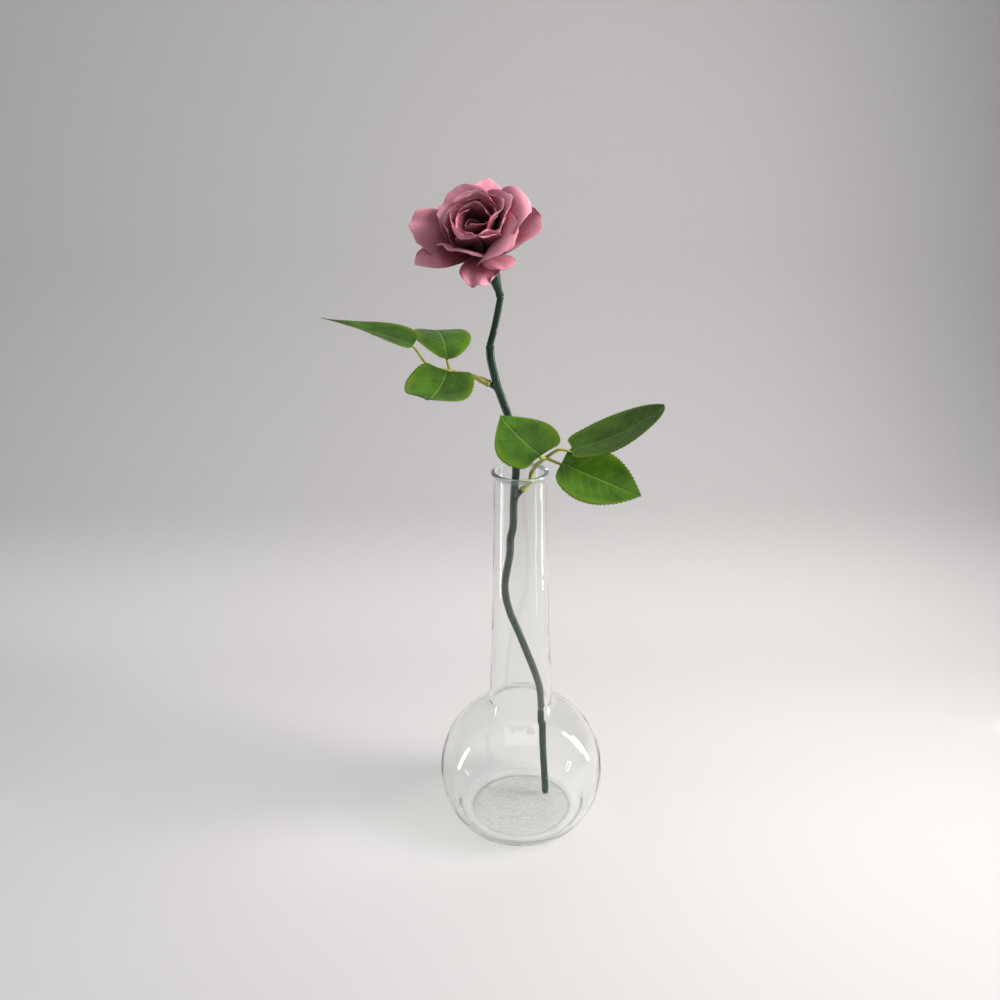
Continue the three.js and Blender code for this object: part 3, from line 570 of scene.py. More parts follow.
# %% Petals
PETALS = [
    dict(az=190, length=32.5, width=14.5, lean=(59, 77), curl=10, cup=12, roll=30, lift=4, wave=0.5),
    dict(az=164, length=34.5, width=22, lean=(50, 62), curl=10, cup=10, roll=25, lift=4.5, wave=2.0,
         skew=-0.09, tuck=26),
    dict(az=100, length=32, width=24, lean=(40, 58), curl=50, cup=15, roll=30, lift=4),
    dict(az=68, length=31.5, width=22, lean=(44, 64), curl=10, cup=0, roll=50, lift=3, point=0.06,
         tuck=-32),
    dict(az=6, length=34, width=33, lean=(32, 54), curl=115, cup=14, roll=30, lift=4, curl_from=0.56,
         pinch=0.0, tuck=6),
    dict(az=340, length=30, width=35, lean=(54, 76), curl=20, cup=18, roll=10, lift=4.5, wave=0.8),
    dict(az=291, length=20.5, width=16.5, lean=(65, 87), curl=0, cup=-5, roll=10, lift=4, tuck=22),
    dict(az=255, length=23.5, width=18.5, lean=(64, 98), curl=10, cup=-14, roll=10, lift=4.5, wave=2.2,
         skew=-0.05),
    dict(az=301, length=30.5, width=28, lean=(26, 50), curl=95, cup=10, roll=5, lift=4,
         curl_from=0.4, pinch=0.0, tuck=-20, skew=0.1),
    dict(az=213, length=22.5, width=31, lean=(32, 46), curl=50, cup=0, roll=35, lift=3.5, curl_from=0.75,
         tuck=-12, pinch=0.0),
    dict(az=138, length=27, width=20, lean=(24, 48), curl=30, cup=35, roll=20, lift=5, point=0.04),
    dict(az=92, length=27, width=26, lean=(22, 50), curl=60, cup=35, roll=20, lift=5),
    dict(az=16, length=28, width=30, lean=(22, 48), curl=50, cup=35, roll=20, lift=5),
    dict(az=235, length=26.5, width=34, lean=(14, 30), curl=170, cup=60, roll=5, lift=5, curl_from=0.8,
         pinch=0.0),
    dict(az=292, length=25.5, width=30, lean=(18, 40), curl=100, cup=50, roll=5, lift=4.5,
         curl_from=0.82, pinch=0.0),
    dict(az=10, length=26, width=29, lean=(14, 38), curl=50, cup=58, roll=5, lift=5),
    dict(az=75, length=26, width=29, lean=(14, 38), curl=50, cup=58, roll=5, lift=5),
    dict(az=145, length=25, width=30, lean=(14, 34), curl=70, cup=58, roll=5, lift=5),
    dict(az=190, length=22, width=27, lean=(0, 24), curl=15, cup=78, roll=0, lift=5, out=4),
    dict(az=325, length=23, width=27, lean=(0, 24), curl=60, cup=78, roll=0, lift=6, out=4.5),
    dict(az=80, length=22, width=27, lean=(0, 22), curl=10, cup=78, roll=0, lift=5, out=4.5),
    dict(az=150, length=17, width=15, lean=(-2, 8), curl=0, cup=90, roll=0, lift=5, out=4),
    dict(az=330, length=16, width=15, lean=(-2, 8), curl=0, cup=90, roll=0, lift=5, out=4),
]
PETAL_ROWS, PETAL_COLUMNS = 40, 41
CLOTH_THICKNESS = 0.35
TUCK = 12                         # each petal's, where it has none of its own
WIDEST = 0.66                     # the share of its length where a petal is widest
STEPS = 32                        # the bends are summed up in so many steps


def petal_line(petal, across, share):
    """Distance from the axis and height of the petal's centre line after a share of its length."""
    start, end = petal["lean"]
    begin = petal.get("curl_from", 0.62)
    back = petal["curl"] * (1 - petal.get("pinch", 0.15) * np.exp(-(across / 0.22) ** 2))
    radius = np.full(np.broadcast(across, share).shape, petal.get("out", 2.5), float)
    height = np.full(radius.shape, petal["lift"], float)
    for k in range(STEPS):
        t = share * (k + 0.5) / STEPS
        past = np.maximum(0, (t - begin) / (1 - begin))
        angle = np.radians(start + (end - start) * t + back * past ** 2)
        radius += petal["length"] * share / STEPS * np.sin(angle)
        height += petal["length"] * share / STEPS * np.cos(angle)
    return radius, height


def petal_section(petal, across, share):
    """The section across for a half width of 1: hollow in the middle, its margins turned back."""
    x = np.zeros(np.broadcast(across, share).shape)
    y = np.zeros(x.shape)
    for k in range(STEPS):
        s = across * (k + 0.5) / STEPS
        edge = np.maximum(0, (np.abs(s) - 0.55) / 0.45)
        hollow = petal["cup"] * s * (0.35 + 0.65 * share)
        rolled = np.sign(s) * petal["roll"] * share ** 2 * edge ** 1.5
        angle = np.radians(hollow - petal.get("tuck", TUCK) - rolled)
        x += across / STEPS * np.cos(angle)
        y += across / STEPS * np.sin(angle)
    return x, y


def petal_rows(petal, number):
    """A petal's points in its place. Its number gives it nicks, creases and a frill of its own."""
    share = 1 - (1 - np.linspace(0, 1, PETAL_ROWS))[:, None] ** 1.3
    across = np.linspace(-1, 1, PETAL_COLUMNS)[None, :]
    start, end = petal["lean"]
    phase = 1.7 * number
    nicks = 0.012 * np.sin(7 * across + phase) + 0.003 * np.sin(23 * across + 2.3 * phase)
    point = petal.get("point", 0.0) * np.exp(-(across / 0.16) ** 2) * share ** 8
    skew = petal.get("skew", 0) * across * share ** 3
    t = share - 0.15 * share ** 3 * across ** 2 + point + skew + nicks * share ** 10
    grown = np.sin(np.minimum(share / WIDEST, 1) * np.pi / 2) ** 0.8
    fallen = 1 - 0.3 * np.maximum(0, (share - WIDEST) / (1 - WIDEST)) ** 2
    cut = 1 + 0.012 * np.sin(13 * share + phase) * np.abs(across) ** 6
    half = petal["width"] / 2 * (0.16 + 0.84 * grown) * fallen * cut
    radius, height = petal_line(petal, across, t)
    x, y = petal_section(petal, across, share)
    ruffle = petal.get("wave", 0) * np.sin(2 * np.pi * across + 1) * share ** 3 * (
        0.3 + 0.7 * np.abs(across))
    margin = np.maximum(share, np.abs(across)) ** 5 * share
    frill = 0.22 * margin * np.sin(7.5 * across + phase + 2.5 * share)
    press = 0.16 * share * np.sin(5.5 * across + 1.3 * np.sin(6 * share + phase) + phase)
    inward = half * y + ruffle + frill + press
    angle = np.radians(start + (end - start) * t)
    rows = np.stack([radius - inward * np.cos(angle), half * x, height + inward * np.sin(angle)], -1)
    return put(spun(rows, petal["az"]), on_bloom)


print(len(PETALS), "petals in four layers, the longest", max(p["length"] for p in PETALS), "mm")

# %% Dyed polyester satin, with painted shade and light
# Polyester cloth is matt with a soft sheen at grazing angles, and thin enough to pass some light.
# The colour is deepest in the folds towards the root, paler over the broad of the petal and palest at its
# end. The deep root is partly dye and partly painted shade of the hollows, and the pale end is partly dye
# and partly painted light on the lit rims. The dye wicks into a thin dark line along the cut edge. Petals
# further in are deeper, partly from deeper dye and partly from painted shade of the deep heart: there are
# three ramps, for the open petals, for the cup and for the heart. The threads are 0.15 mm apart, too fine
# to show, so the weave is drawn twice as coarse.
CLOTH_IOR = 1.5
ONE_BAND = 0.32                   # about the scale at which a wave texture has one band in a unit
THREAD_MM, THREAD_DEPTH_MM = 0.32, 0.2
MOTTLE_MM, CREASE_DEPTH_MM = 5, 1.2
# The end colour is partly dye and partly painted light on the lit rims. The deep colours given to satin()
# are partly painted shade.
MIDDLE_DYE, END_DYE_AND_LIGHT, EDGE_DYE = "#a65461", "#e89eb2", "#6e2f3d"


def satin(name, deep, shaded_root_to, lit_end_from, sheen):
    """Satin whose colour is deep up to one share of the petal's length, of middle depth at another and pale
    at the end. The deep part is partly dye and partly painted shade, and the pale end is partly dye and
    partly painted light.
    """
    material, tree, output = new_material(name)
    uv = add_node(tree, "UVMap", uv_map="along_across")
    parts = add_node(tree, "SeparateXYZ", {"Vector": uv.outputs["UV"]})
    side = add_node(tree, "Math", {0: parts.outputs["X"], 1: 0.5}, operation="SUBTRACT")
    side = add_node(tree, "Math", {0: side.outputs["Value"]}, operation="ABSOLUTE")
    place = add_node(tree, "TexCoord")
    mottle = add_node(tree, "TexNoise", {"Vector": place.outputs["Object"], "Scale": 1 / (MOTTLE_MM * MM),
                                         "Detail": 5.0, "Roughness": 0.6})
    shifted = add_node(tree, "Math", {0: mottle.outputs["Fac"], 1: 0.5}, operation="SUBTRACT")
    depth = add_node(tree, "Math", {0: shifted.outputs["Value"], 1: 0.3, 2: parts.outputs["Y"]},
                     operation="MULTIPLY_ADD")
    dye_and_shade = add_node(tree, "ValToRGB", {"Fac": depth.outputs["Value"]})
    first, last = dye_and_shade.color_ramp.elements
    # The deep root colour is partly painted shade, and the pale end colour is partly painted light.
    first.position, first.color = shaded_root_to, linear(deep)
    last.position, last.color = 0.98, linear(END_DYE_AND_LIGHT)
    dye_and_shade.color_ramp.elements.new(lit_end_from).color = linear(MIDDLE_DYE)
    along_edge = add_node(tree, "MapRange", {"Value": parts.outputs["Y"], "From Min": 0.98,
                                             "From Max": 1.0})
    beside_edge = add_node(tree, "MapRange", {"Value": side.outputs["Value"], "From Min": 0.488,
                                              "From Max": 0.5})
    edge = add_node(tree, "Math", {0: along_edge.outputs["Result"], 1: beside_edge.outputs["Result"]},
                    operation="MAXIMUM")
    edge = add_node(tree, "Math", {0: edge.outputs["Value"], 1: 0.5}, operation="MULTIPLY")
    colour = add_node(tree, "Mix", {"Factor": edge.outputs["Value"], 6: dye_and_shade.outputs["Color"],
                                    7: linear(EDGE_DYE)}, data_type="RGBA")
    warp, weft = (add_node(tree, "TexWave", {
        "Vector": place.outputs["Object"], "Distortion": 1.5, "Detail": 1.0,
        "Scale": ONE_BAND / (THREAD_MM * MM)}, bands_direction=way) for way in ("DIAGONAL", "Z"))
    weave = add_node(tree, "Math", {0: warp.outputs["Fac"], 1: weft.outputs["Fac"]},
                     operation="MULTIPLY")
    creases = add_node(tree, "Bump", {"Height": mottle.outputs["Fac"], "Strength": 0.35,
                                      "Distance": CREASE_DEPTH_MM * MM})
    threads = add_node(tree, "Bump", {"Height": weave.outputs["Value"], "Strength": 0.12,
                                      "Distance": THREAD_DEPTH_MM * MM,
                                      "Normal": creases.outputs["Normal"]})
    body = add_node(tree, "BsdfPrincipled", {
        "Base Color": colour.outputs[2], "Roughness": 0.6, "IOR": CLOTH_IOR, "Sheen Weight": sheen,
        "Sheen Roughness": 0.4, "Sheen Tint": linear("#f0cfdc"),
        "Normal": threads.outputs["Normal"]})
    through = add_node(tree, "BsdfTranslucent", {"Color": colour.outputs[2]})
    cloth = add_node(tree, "MixShader", {"Fac": 0.15, 1: body.outputs["BSDF"],
                                         2: through.outputs["BSDF"]})
    tree.links.new(cloth.outputs["Shader"], output.inputs["Surface"])
    return material


# The deep root colours are partly dye and partly painted shade of the hollows in the cup and heart. The
# pale ends are partly painted light on the lit rims.
outer_satin_painted_shade = satin("dyed_satin_with_painted_shade_and_light", "#7a3341", 0.08, 0.34, 0.5)
cup_satin_painted_shade = satin("cup_satin_with_painted_shade_and_light", "#8c3a4a", 0.5, 0.86, 0.35)
heart_satin_painted_shade = satin("heart_satin_with_painted_shade_and_light", "#481420", 0.62, 0.88, 0.25)
print("three dyes of satin with a weave of", THREAD_MM, "mm")

# %% Bloom
# Each layer has its first petal, the one after its last, and its satin, whose colour carries dye, painted
# shade and painted light. The roots are glued to a small seat of the same cloth, which closes the gap above
# the calyx.
LAYERS = {"outer_petals": (0, 8, outer_satin_painted_shade), "second_petals": (8, 13, outer_satin_painted_shade),
          "cup_petals": (13, 18, cup_satin_painted_shade), "heart_petals": (18, len(PETALS), heart_satin_painted_shade)}
SEAT = [(1.5, -0.9), (4.3, -0.8), (5.0, 0.4), (5.0, 3.5), (4.2, 6.0), (1.5, 7.5)]
bloom = []
for name, (first, last, finish) in LAYERS.items():
    petals = []
    for number in range(first, last):
        petal = grid_piece(f"petal_{number + 1}", petal_rows(PETALS[number], number), finish,
                           "petal_fabric")
        thicken(petal, CLOTH_THICKNESS)
        settle(petal)
        petals.append(petal)
    if name == "outer_petals":
        seat_rows = put(turned_rows(SEAT, 32), on_bloom)
        petals.append(grid_piece("petal_seat", seat_rows, finish, "petal_fabric"))
    bloom.append(joined_pieces(name, petals))
for layer in bloom:
    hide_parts("bloom")
print("bloom:", {layer.name: len(layer.data.polygons) for layer in bloom})

# %% [markdown]
# ## The leaflets: printed polyester with a pressed vein pattern
# A leaflet is a toothed piece of green cloth, printed with veins, edged in yellow green and pressed
# so that the halves rise from the rib. It could be a picture on a flat card, but the teeth and
# the bend make the leaf, so it is a grid about a bent rib, with its margin drawn out into teeth that
# point forward, and with veins sunk a little into the sheet.
# base and tip are the rib's ends. roll, twist, droop and fold are degrees. belly is less than 1
# where the blade is widest near its base, and lobe is how far the base reaches back. round_base and
# taper are small where that end is full, and blunt makes one side of the tip fuller.

# %% Leaflet shapes
LEAVES = [
    dict(name="upper_leaflet_end", base=(-53, -11, 290), tip=(-100, -1, 301.5), width=24.5,
         roll=0, twist=-24, droop=5, fold=12, belly=0.62, lobe=2.5, round_base=0.6, taper=1.8),
    dict(name="upper_leaflet_back", base=(-36.4, -8, 281.5), tip=(-45, 26, 288), width=30,
         roll=-5, twist=0, droop=62, fold=2, belly=1.0, lobe=1, round_base=0.7, taper=0.55),
    dict(name="upper_leaflet_front", base=(-36.2, -17, 277.6), tip=(-46, -53, 275), width=32,
         roll=10, twist=0, droop=-70, fold=6, belly=0.62, lobe=4, round_base=0.5, taper=0.42),
    dict(name="lower_leaflet_left", base=(9.4, -38, 240.3), tip=(-10.3, -22, 256), width=35,
         roll=20, twist=0, droop=-35, fold=3, belly=0.66, lobe=3.5, round_base=0.6, taper=1.0),
    dict(name="lower_leaflet_end", base=(25, -36, 242.6), tip=(69.1, -37, 265.2), width=32,
         roll=-12, twist=0, droop=-32, fold=7, belly=0.92, lobe=4, round_base=0.42, taper=0.8,
         blunt=0.45),
    dict(name="lower_leaflet_right", base=(19.6, -39, 236.5), tip=(57.5, -53, 224.3), width=32,
         roll=-36, twist=0, droop=-10, fold=5, belly=0.75, lobe=2, round_base=0.6, taper=0.9),
]
TEETH, TOOTH_MM = 25, 0.95
VEINS = 8                         # side veins in each half
VEIN_SWEEP, VEIN_BEND, VEIN_SHIFT = 0.24, 1.3, 0.25   # how they lean forward, bend and alternate
LEAF_ROWS, LEAF_COLUMNS = 6 * TEETH + 1, 41


def leaf_frame(leaf, share):
    """The rib's point, and the blade's own side, way ahead and normal, at each share of its length."""
    base, tip = np.array(leaf["base"], float), np.array(leaf["tip"], float)
    chord = tip - base
    length = np.linalg.norm(chord)
    forward = chord / length
    level = np.cross(forward, [0, 0, 1])
    level /= np.linalg.norm(level)
    roll = np.radians(leaf["roll"] + leaf["twist"] * (share - 0.5))[:, None]
    side = np.cos(roll) * level + np.sin(roll) * np.cross(level, forward)
    up = np.cross(side, forward)
    bend = math.radians(leaf["droop"])
    radius = length / (2 * math.sin(bend / 2))
    angle = bend * (0.5 - share)[:, None]
    place = base + forward * radius * (math.sin(bend / 2) - np.sin(angle))
    place = place + up * radius * (np.cos(angle) - math.cos(bend / 2))
    ahead = forward * np.cos(angle) + up * np.sin(angle)
    return place, side, ahead, np.cross(side, ahead)


def leaf_rows(leaf, number):
    """A leaflet's points in its place. Its number gives its margins a wave of their own."""
    share = np.linspace(0, 1, LEAF_ROWS)
    s = np.linspace(-1, 1, LEAF_COLUMNS)[None, :]
    place, side, ahead, normal = leaf_frame(leaf, share)
    v = share[:, None]
    taper = leaf["taper"] - leaf.get("blunt", 0) * (s > 0)      # one side may be fuller at the tip
    sharp = leaf["round_base"] + (taper - leaf["round_base"]) * v
    outline = np.sin(np.pi * v ** leaf["belly"]).clip(0, 1) ** sharp
    saw = (v * TEETH) % 1.0
    tooth = TOOTH_MM * (saw ** 1.3 - 0.25) * np.sin(np.pi * v) ** 0.3 * np.abs(s) ** 7
    half = leaf["width"] / 2 * outline
    spread = s * half + np.sign(s) * tooth
    early = v / 0.09
    back = leaf["lobe"] * early * np.exp(1 - early)
    fold = math.radians(leaf["fold"])
    passed = (v - VEIN_SWEEP * np.abs(s) ** VEIN_BEND) * VEINS * 1.1 + VEIN_SHIFT * np.sign(s)
    fading = np.clip(1.15 - np.abs(s), 0, 1) * (np.abs(s) > 0.02)
    vein = np.exp(-((passed % 1 - 0.5) / 0.12) ** 2) * fading
    rib = np.exp(-(s * half / 0.55) ** 2)
    puff = 0.12 * (0.5 - vein) * np.abs(s) ** 0.5 - 0.35 * rib
    wave = 0.5 * np.sin(7 * v + 1.9 * number + 1.2 * np.sign(s)) * s ** 2
    rise = np.abs(s) * half * math.sin(fold) + (puff + wave) * np.minimum(1, outline * 2)
    return (place[:, None, :] + side[:, None, :] * (spread * math.cos(fold))[..., None]
            + normal[:, None, :] * rise[..., None]
            + ahead[:, None, :] * (-back * s ** 2 + 0.5 * tooth)[..., None])


print(len(LEAVES), "leaflets with", 2 * TEETH, "teeth each")

# %% Printed leaf cloth
# The leaf cloth is a plain-woven polyester, printed green and sealed, so it is matt with a faint
# bloom of light. The print is deep green in the fields, yellow green along the margin, and pale
# along the rib and the side veins, which lean forward and fade before the teeth.
LINEN_MM = 0.6                    # real threads are finer; this is as coarse as it needs to show
LEAF_WIDE, LEAF_LONG = 31, 45     # a leaflet of middle size, for the count of its threads
NET_MM, CLOUD_MM, JITTER_MM, VEIN_DEPTH_MM = 2.6, 11, 7, 0.4

leaf_cloth, tree, output = new_material("printed_leaf_cloth")
uv = add_node(tree, "UVMap", uv_map="along_across")
parts = add_node(tree, "SeparateXYZ", {"Vector": uv.outputs["UV"]})
place = add_node(tree, "TexCoord")
signed = add_node(tree, "MapRange", {"Value": parts.outputs["X"], "To Min": -1.0, "To Max": 1.0})
away = add_node(tree, "Math", {0: signed.outputs["Result"]}, operation="ABSOLUTE")
swept = add_node(tree, "Math", {0: away.outputs["Value"], 1: VEIN_BEND}, operation="POWER")
jitter = add_node(tree, "TexNoise", {"Vector": place.outputs["Object"], "Scale": 1 / (JITTER_MM * MM),
                                     "Detail": 3.0})
lean = add_node(tree, "Math", {0: swept.outputs["Value"], 1: -VEIN_SWEEP, 2: parts.outputs["Y"]},
                operation="MULTIPLY_ADD")
lean = add_node(tree, "Math", {0: jitter.outputs["Fac"], 1: 0.035, 2: lean.outputs["Value"]},
                operation="MULTIPLY_ADD")
sign = add_node(tree, "Math", {0: signed.outputs["Result"]}, operation="SIGN")
offset = add_node(tree, "Math", {0: sign.outputs["Value"], 1: VEIN_SHIFT}, operation="MULTIPLY")
count = add_node(tree, "Math", {0: lean.outputs["Value"], 1: VEINS * 1.1,
                                2: offset.outputs["Value"]}, operation="MULTIPLY_ADD")
phase = add_node(tree, "Math", {0: count.outputs["Value"]}, operation="FRACT")
off_vein = add_node(tree, "Math", {0: phase.outputs["Value"], 1: 0.5}, operation="SUBTRACT")
off_vein = add_node(tree, "Math", {0: off_vein.outputs["Value"]}, operation="ABSOLUTE")
side_vein = add_node(tree, "MapRange", {"Value": off_vein.outputs["Value"], "From Min": 0.0,
                                        "From Max": 0.13, "To Min": 0.11, "To Max": 0.0},
                     interpolation_type="SMOOTHSTEP")
fading = add_node(tree, "MapRange", {"Value": away.outputs["Value"], "From Min": 0.55,
                                     "From Max": 0.95, "To Min": 1.0, "To Max": 0.0})
side_vein = add_node(tree, "Math", {0: side_vein.outputs["Result"], 1: fading.outputs["Result"]},
                     operation="MULTIPLY")
rib = add_node(tree, "MapRange", {"Value": away.outputs["Value"], "From Min": 0.012,
                                  "From Max": 0.045, "To Min": 0.4, "To Max": 0.0},
               interpolation_type="SMOOTHSTEP")
veins = add_node(tree, "Math", {0: side_vein.outputs["Value"], 1: rib.outputs["Result"]},
                 operation="MAXIMUM")
net = add_node(tree, "TexVoronoi", {"Vector": place.outputs["Object"], "Scale": 1 / (NET_MM * MM)},
               feature="DISTANCE_TO_EDGE")
fine = add_node(tree, "MapRange", {"Value": net.outputs["Distance"], "From Min": 0.0,
                                   "From Max": 0.09, "To Min": 0.06, "To Max": 0.0})
veins = add_node(tree, "Math", {0: veins.outputs["Value"], 1: fine.outputs["Result"]},
                 operation="MAXIMUM")
cloud = add_node(tree, "TexNoise", {"Vector": place.outputs["Object"], "Scale": 1 / (CLOUD_MM * MM),
                                    "Detail": 4.0})
patch = add_node(tree, "MapRange", {"Value": cloud.outputs["Fac"], "From Min": 0.35, "From Max": 0.68})
field = add_node(tree, "Mix", {"Factor": patch.outputs["Result"], 6: linear("#2b4b08"),
                               7: linear("#466f11")}, data_type="RGBA")
margin = add_node(tree, "MapRange", {"Value": away.outputs["Value"], "From Min": 0.7,
                                     "From Max": 1.02, "To Max": 0.75},
                  interpolation_type="SMOOTHSTEP")
edged = add_node(tree, "Mix", {"Factor": margin.outputs["Result"], 6: field.outputs[2],
                               7: linear("#5f7e0a")}, data_type="RGBA")
colour = add_node(tree, "Mix", {"Factor": veins.outputs["Value"], 6: edged.outputs[2],
                                7: linear("#86a850")}, data_type="RGBA")
warp = add_node(tree, "TexWave", {"Vector": uv.outputs["UV"], "Distortion": 0.6,
                                  "Scale": ONE_BAND * LEAF_WIDE / LINEN_MM}, bands_direction="X")
weft = add_node(tree, "TexWave", {"Vector": uv.outputs["UV"], "Distortion": 0.6,
                                  "Scale": ONE_BAND * LEAF_LONG / LINEN_MM}, bands_direction="Y")
linen = add_node(tree, "Math", {0: warp.outputs["Fac"], 1: weft.outputs["Fac"]},
                 operation="MULTIPLY")
sunk = add_node(tree, "Bump", {"Height": veins.outputs["Value"], "Strength": 0.35,
                               "Distance": VEIN_DEPTH_MM * MM}, invert=True)
threads = add_node(tree, "Bump", {"Height": linen.outputs["Value"], "Strength": 0.22,
                                  "Distance": THREAD_DEPTH_MM * MM,
                                  "Normal": sunk.outputs["Normal"]})
body = add_node(tree, "BsdfPrincipled", {
    "Base Color": colour.outputs[2], "Roughness": 0.55, "IOR": 1.46, "Sheen Weight": 0.05,
    "Sheen Roughness": 0.4, "Normal": threads.outputs["Normal"]})
through = add_node(tree, "BsdfTranslucent", {"Color": colour.outputs[2]})
cloth = add_node(tree, "MixShader", {"Fac": 0.12, 1: body.outputs["BSDF"],
                                     2: through.outputs["BSDF"]})
tree.links.new(cloth.outputs["Shader"], output.inputs["Surface"])
print("leaf print with", VEINS, "side veins a half and linen of", LINEN_MM, "mm")

# %% Leaflets
for number, leaf in enumerate(LEAVES):
    piece = grid_piece("cloth_" + leaf["name"], leaf_rows(leaf, number), leaf_cloth, "leaf_fabric")
    thicken(piece, CLOTH_THICKNESS)
    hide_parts(leaf["name"])
    print(piece.name, "has", len(piece.data.polygons), "squares")

# %% [markdown]
# ## The leaf stalks: yellow-green plastic, plugged on to the stem
# Each spray's stalk is one moulding: a socket that grips the stem's peg, the stalk to the fork, and
# a rib that runs on below each leaflet, where the cloth is glued to it. They are tubes along short
# curves, thick at the socket and thin at the ribs' ends.

# %% Stalks
RIB_GAP = 1.5                     # from the middle of a rib up to its leaflet
SOCKET_LENGTH = 6.9
SOCKET_RADII = [1.6, 1.85, 1.9, 1.7, 1.65, 1.2]       # a beaded mouth, then a slow taper
UPPER_RACHIS = [(-27, -12.5, 274.5), (-35.2, -12.5, 276.3)]
LOWER_RACHIS = [(5.7, -10, 220.6), (6.5, -12.9, 223.4), (8, -20, 228.7), (12, -34, 237.6)]
RIB_WAYS = {"upper_leaflet_end": [(-46, -11, 279.1)], "upper_leaflet_back": [(-36, -10, 278)],
            "lower_leaflet_end": [(18.5, -36.6, 242.7)]}


def rib_points(leaf):
    """The rib's points under its leaflet, on part of the blade's length."""
    place, _, _, normal = leaf_frame(leaf, np.array([0, 0.12, 0.28, 0.45]))
    return list(place - RIB_GAP * normal)


def stalk(name, nib, rachis, leaves):
    """One spray's moulding: its socket on the peg, its stalk and a rib for each leaflet."""
    way = way_between(*nib)
    mouth, socket_end = nib[1] + 0.3 * way, nib[1] + SOCKET_LENGTH * way
    socket_path = [mouth, mouth + 0.25 * way, mouth + 1.2 * way, mouth + 1.6 * way,
                   socket_end - 1.2 * way, socket_end]
    main = smooth_path([socket_end - 2 * way, socket_end, *rachis], 12 * len(rachis))
    tubes = [(name + "_socket", socket_path, SOCKET_RADII, 20),
             (name + "_rachis", main, np.linspace(1.25, 1.0, len(main)), 16)]
    for leaf in leaves:
        rib = smooth_path([rachis[-1], *RIB_WAYS.get(leaf["name"], []), *rib_points(leaf)], 40)
        tubes.append((name + "_rib", rib, np.linspace(0.85, 0.35, len(rib)), 12))
    return joined_pieces(name, [tube_piece(*tube, stalk_yellow, "stalk_plastic") for tube in tubes])


upper_stalk = stalk("plastic_upper_stalk", UPPER_NIB, UPPER_RACHIS, LEAVES[:3])
lower_stalk = stalk("plastic_lower_stalk", LOWER_NIB, LOWER_RACHIS, LEAVES[3:])
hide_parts("upper_stalk")
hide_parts("lower_stalk")
print("two stalks with three ribs each")

# %% [markdown]
# ## The stage: a pale sweep, soft windows and the camera
# Clear glass is only seen by what it bends and mirrors. So the floor sweeps up into a backdrop a
# little darker than itself, and the room is brighter to mirrored and bent light than to cloth. Two
# soft windows and a fill from above light the cloth, and the windows aren't seen in the glass.
# Three narrow glints are seen in it, as bright bands down its sides, and don't light the cloth.

# %% Floor
SWEEP_FRONT, SWEEP_BACK, SWEEP_TOP, SWEEP_BEND, SWEEP_HALF = -1100, 420, 1500, 260, 1400
BEND_START = SWEEP_BACK - SWEEP_BEND
GRAIN_MM = 10 / 3

paper, tree, output = new_material("pale_paper_sweep")
place = add_node(tree, "TexCoord")
grain = add_node(tree, "TexNoise", {"Vector": place.outputs["Object"], "Detail": 3.0,
                                    "Scale": 1 / (GRAIN_MM * MM)})
tone = add_node(tree, "Mix", {"Factor": grain.outputs["Fac"], 6: linear("#b4b2b3"),
                              7: linear("#bab8b9")}, data_type="RGBA")
heights = add_node(tree, "SeparateXYZ", {"Vector": place.outputs["Object"]})
low = add_node(tree, "MapRange", {"Value": heights.outputs["Z"], "From Min": 0.004, "From Max": 0.07,
                                  "To Min": 1.0, "To Max": 0.0}, interpolation_type="SMOOTHSTEP")
tone = add_node(tree, "Mix", {"Factor": low.outputs["Result"], 6: tone.outputs[2],
                              7: linear("#cfcdce")}, data_type="RGBA")
body = add_node(tree, "BsdfPrincipled", {"Base Color": tone.outputs[2], "Roughness": 0.9})
tree.links.new(body.outputs["BSDF"], output.inputs["Surface"])
profile = [(SWEEP_FRONT, 0.0), (-300.0, 0.0), *arc((BEND_START, SWEEP_BEND), SWEEP_BEND, -90, 0, 20),
           (SWEEP_BACK, SWEEP_TOP)]
sweep = np.array([[(x, y, z) for x in (-SWEEP_HALF, 0.0, SWEEP_HALF)] for y, z in profile])
floor = grid_object("pale_floor", sweep, paper)
print("sweep", 2 * SWEEP_HALF, "mm wide")

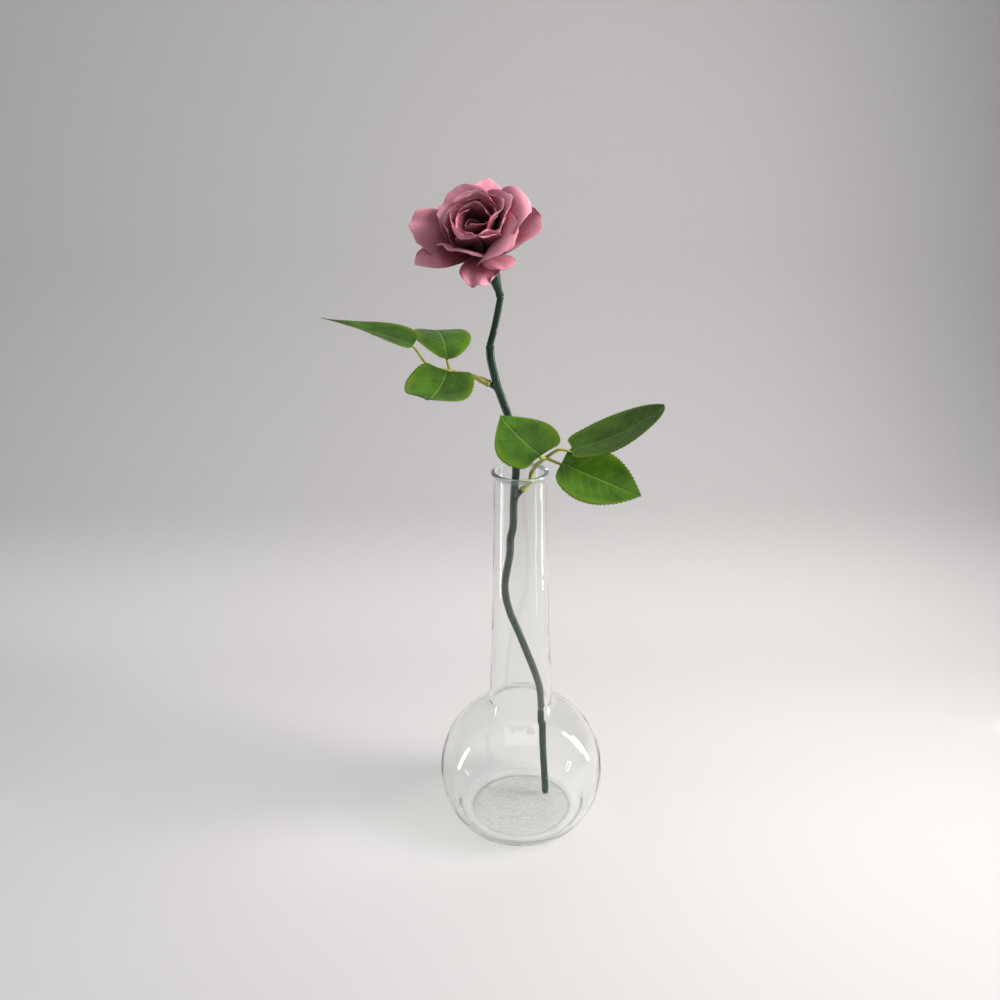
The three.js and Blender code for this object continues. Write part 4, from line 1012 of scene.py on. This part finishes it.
# %% Lights
def soft_light(name, place, target, width, height, watts, colour="#ffffff", spread=150):
    """A panel of so many millimetres that faces a target, its light spread over some degrees."""
    lamp = bpy.data.lights.new(name, "AREA")
    lamp.shape = "RECTANGLE"
    lamp.size, lamp.size_y = width * MM, height * MM
    lamp.energy = watts
    lamp.color = linear(colour)[:3]
    lamp.spread = math.radians(spread)
    stand = bpy.data.objects.new(name, lamp)
    stand.location = Vector(place) * MM
    stand.rotation_euler = (Vector(target) - Vector(place)).to_track_quat("-Z", "Y").to_euler()
    bpy.context.scene.collection.objects.link(stand)
    return stand


right_window = soft_light("right_window", (680, -160, 560), (0, 0, 250), 420, 700, 5.2, "#fffdf8", 100)
left_window = soft_light("left_window", (-750, -150, 480), (0, 0, 180), 160, 620, 0.8, "#f4f7ff")
soft_light("top_fill", (0, -200, 1100), (0, 0, 150), 900, 700, 1.3)
for window in (right_window, left_window):
    window.visible_glossy = False
    window.visible_transmission = False
GLINTS = [("right_glint", (345, 90, 70), 12, 260, 0.12), ("left_glint", (-345, 10, 70), 18, 200, 0.07),
          ("stem_glint", (345, 60, 180), 14, 220, 0.22)]
for name, place, width, height, watts in GLINTS:
    glint = soft_light(name, place, (0, 0, 150), width, height, watts, spread=120)
    glint.visible_diffuse = False
world = bpy.data.worlds.new("pale_room")
bpy.context.scene.world = world
world.use_nodes = True
room = world.node_tree.nodes["Background"]
room.inputs["Color"].default_value = linear("#d9dade")
rays = add_node(world.node_tree, "LightPath")
bright = add_node(world.node_tree, "MapRange", {"Value": rays.outputs["Is Diffuse Ray"],
                                                "To Min": 0.7, "To Max": 0.3})
world.node_tree.links.new(bright.outputs["Result"], room.inputs["Strength"])
print("three soft lights,", len(GLINTS), "glints and a pale room")

# %% Camera
CAMERA_PLACE = (-10.89, -547.8, 421.6)
LOOK_DOWN, TILT = 21.88, -0.55    # degrees
LENS, FILM = 39.6, 36
camera = bpy.data.cameras.new("camera")
camera.lens, camera.sensor_width = LENS, FILM
camera.clip_end = 20
stand = bpy.data.objects.new("camera", camera)
bpy.context.scene.collection.objects.link(stand)
stand.matrix_world = (Matrix.Translation(Vector(CAMERA_PLACE) * MM)
                      @ Matrix.Rotation(math.radians(90 - LOOK_DOWN), 4, "X")
                      @ Matrix.Rotation(math.radians(TILT), 4, "Z"))
bpy.context.scene.camera = stand
bpy.context.scene.view_settings.view_transform = "Standard"
print("camera", round(stand.location.length, 3), "m from the vase's foot")
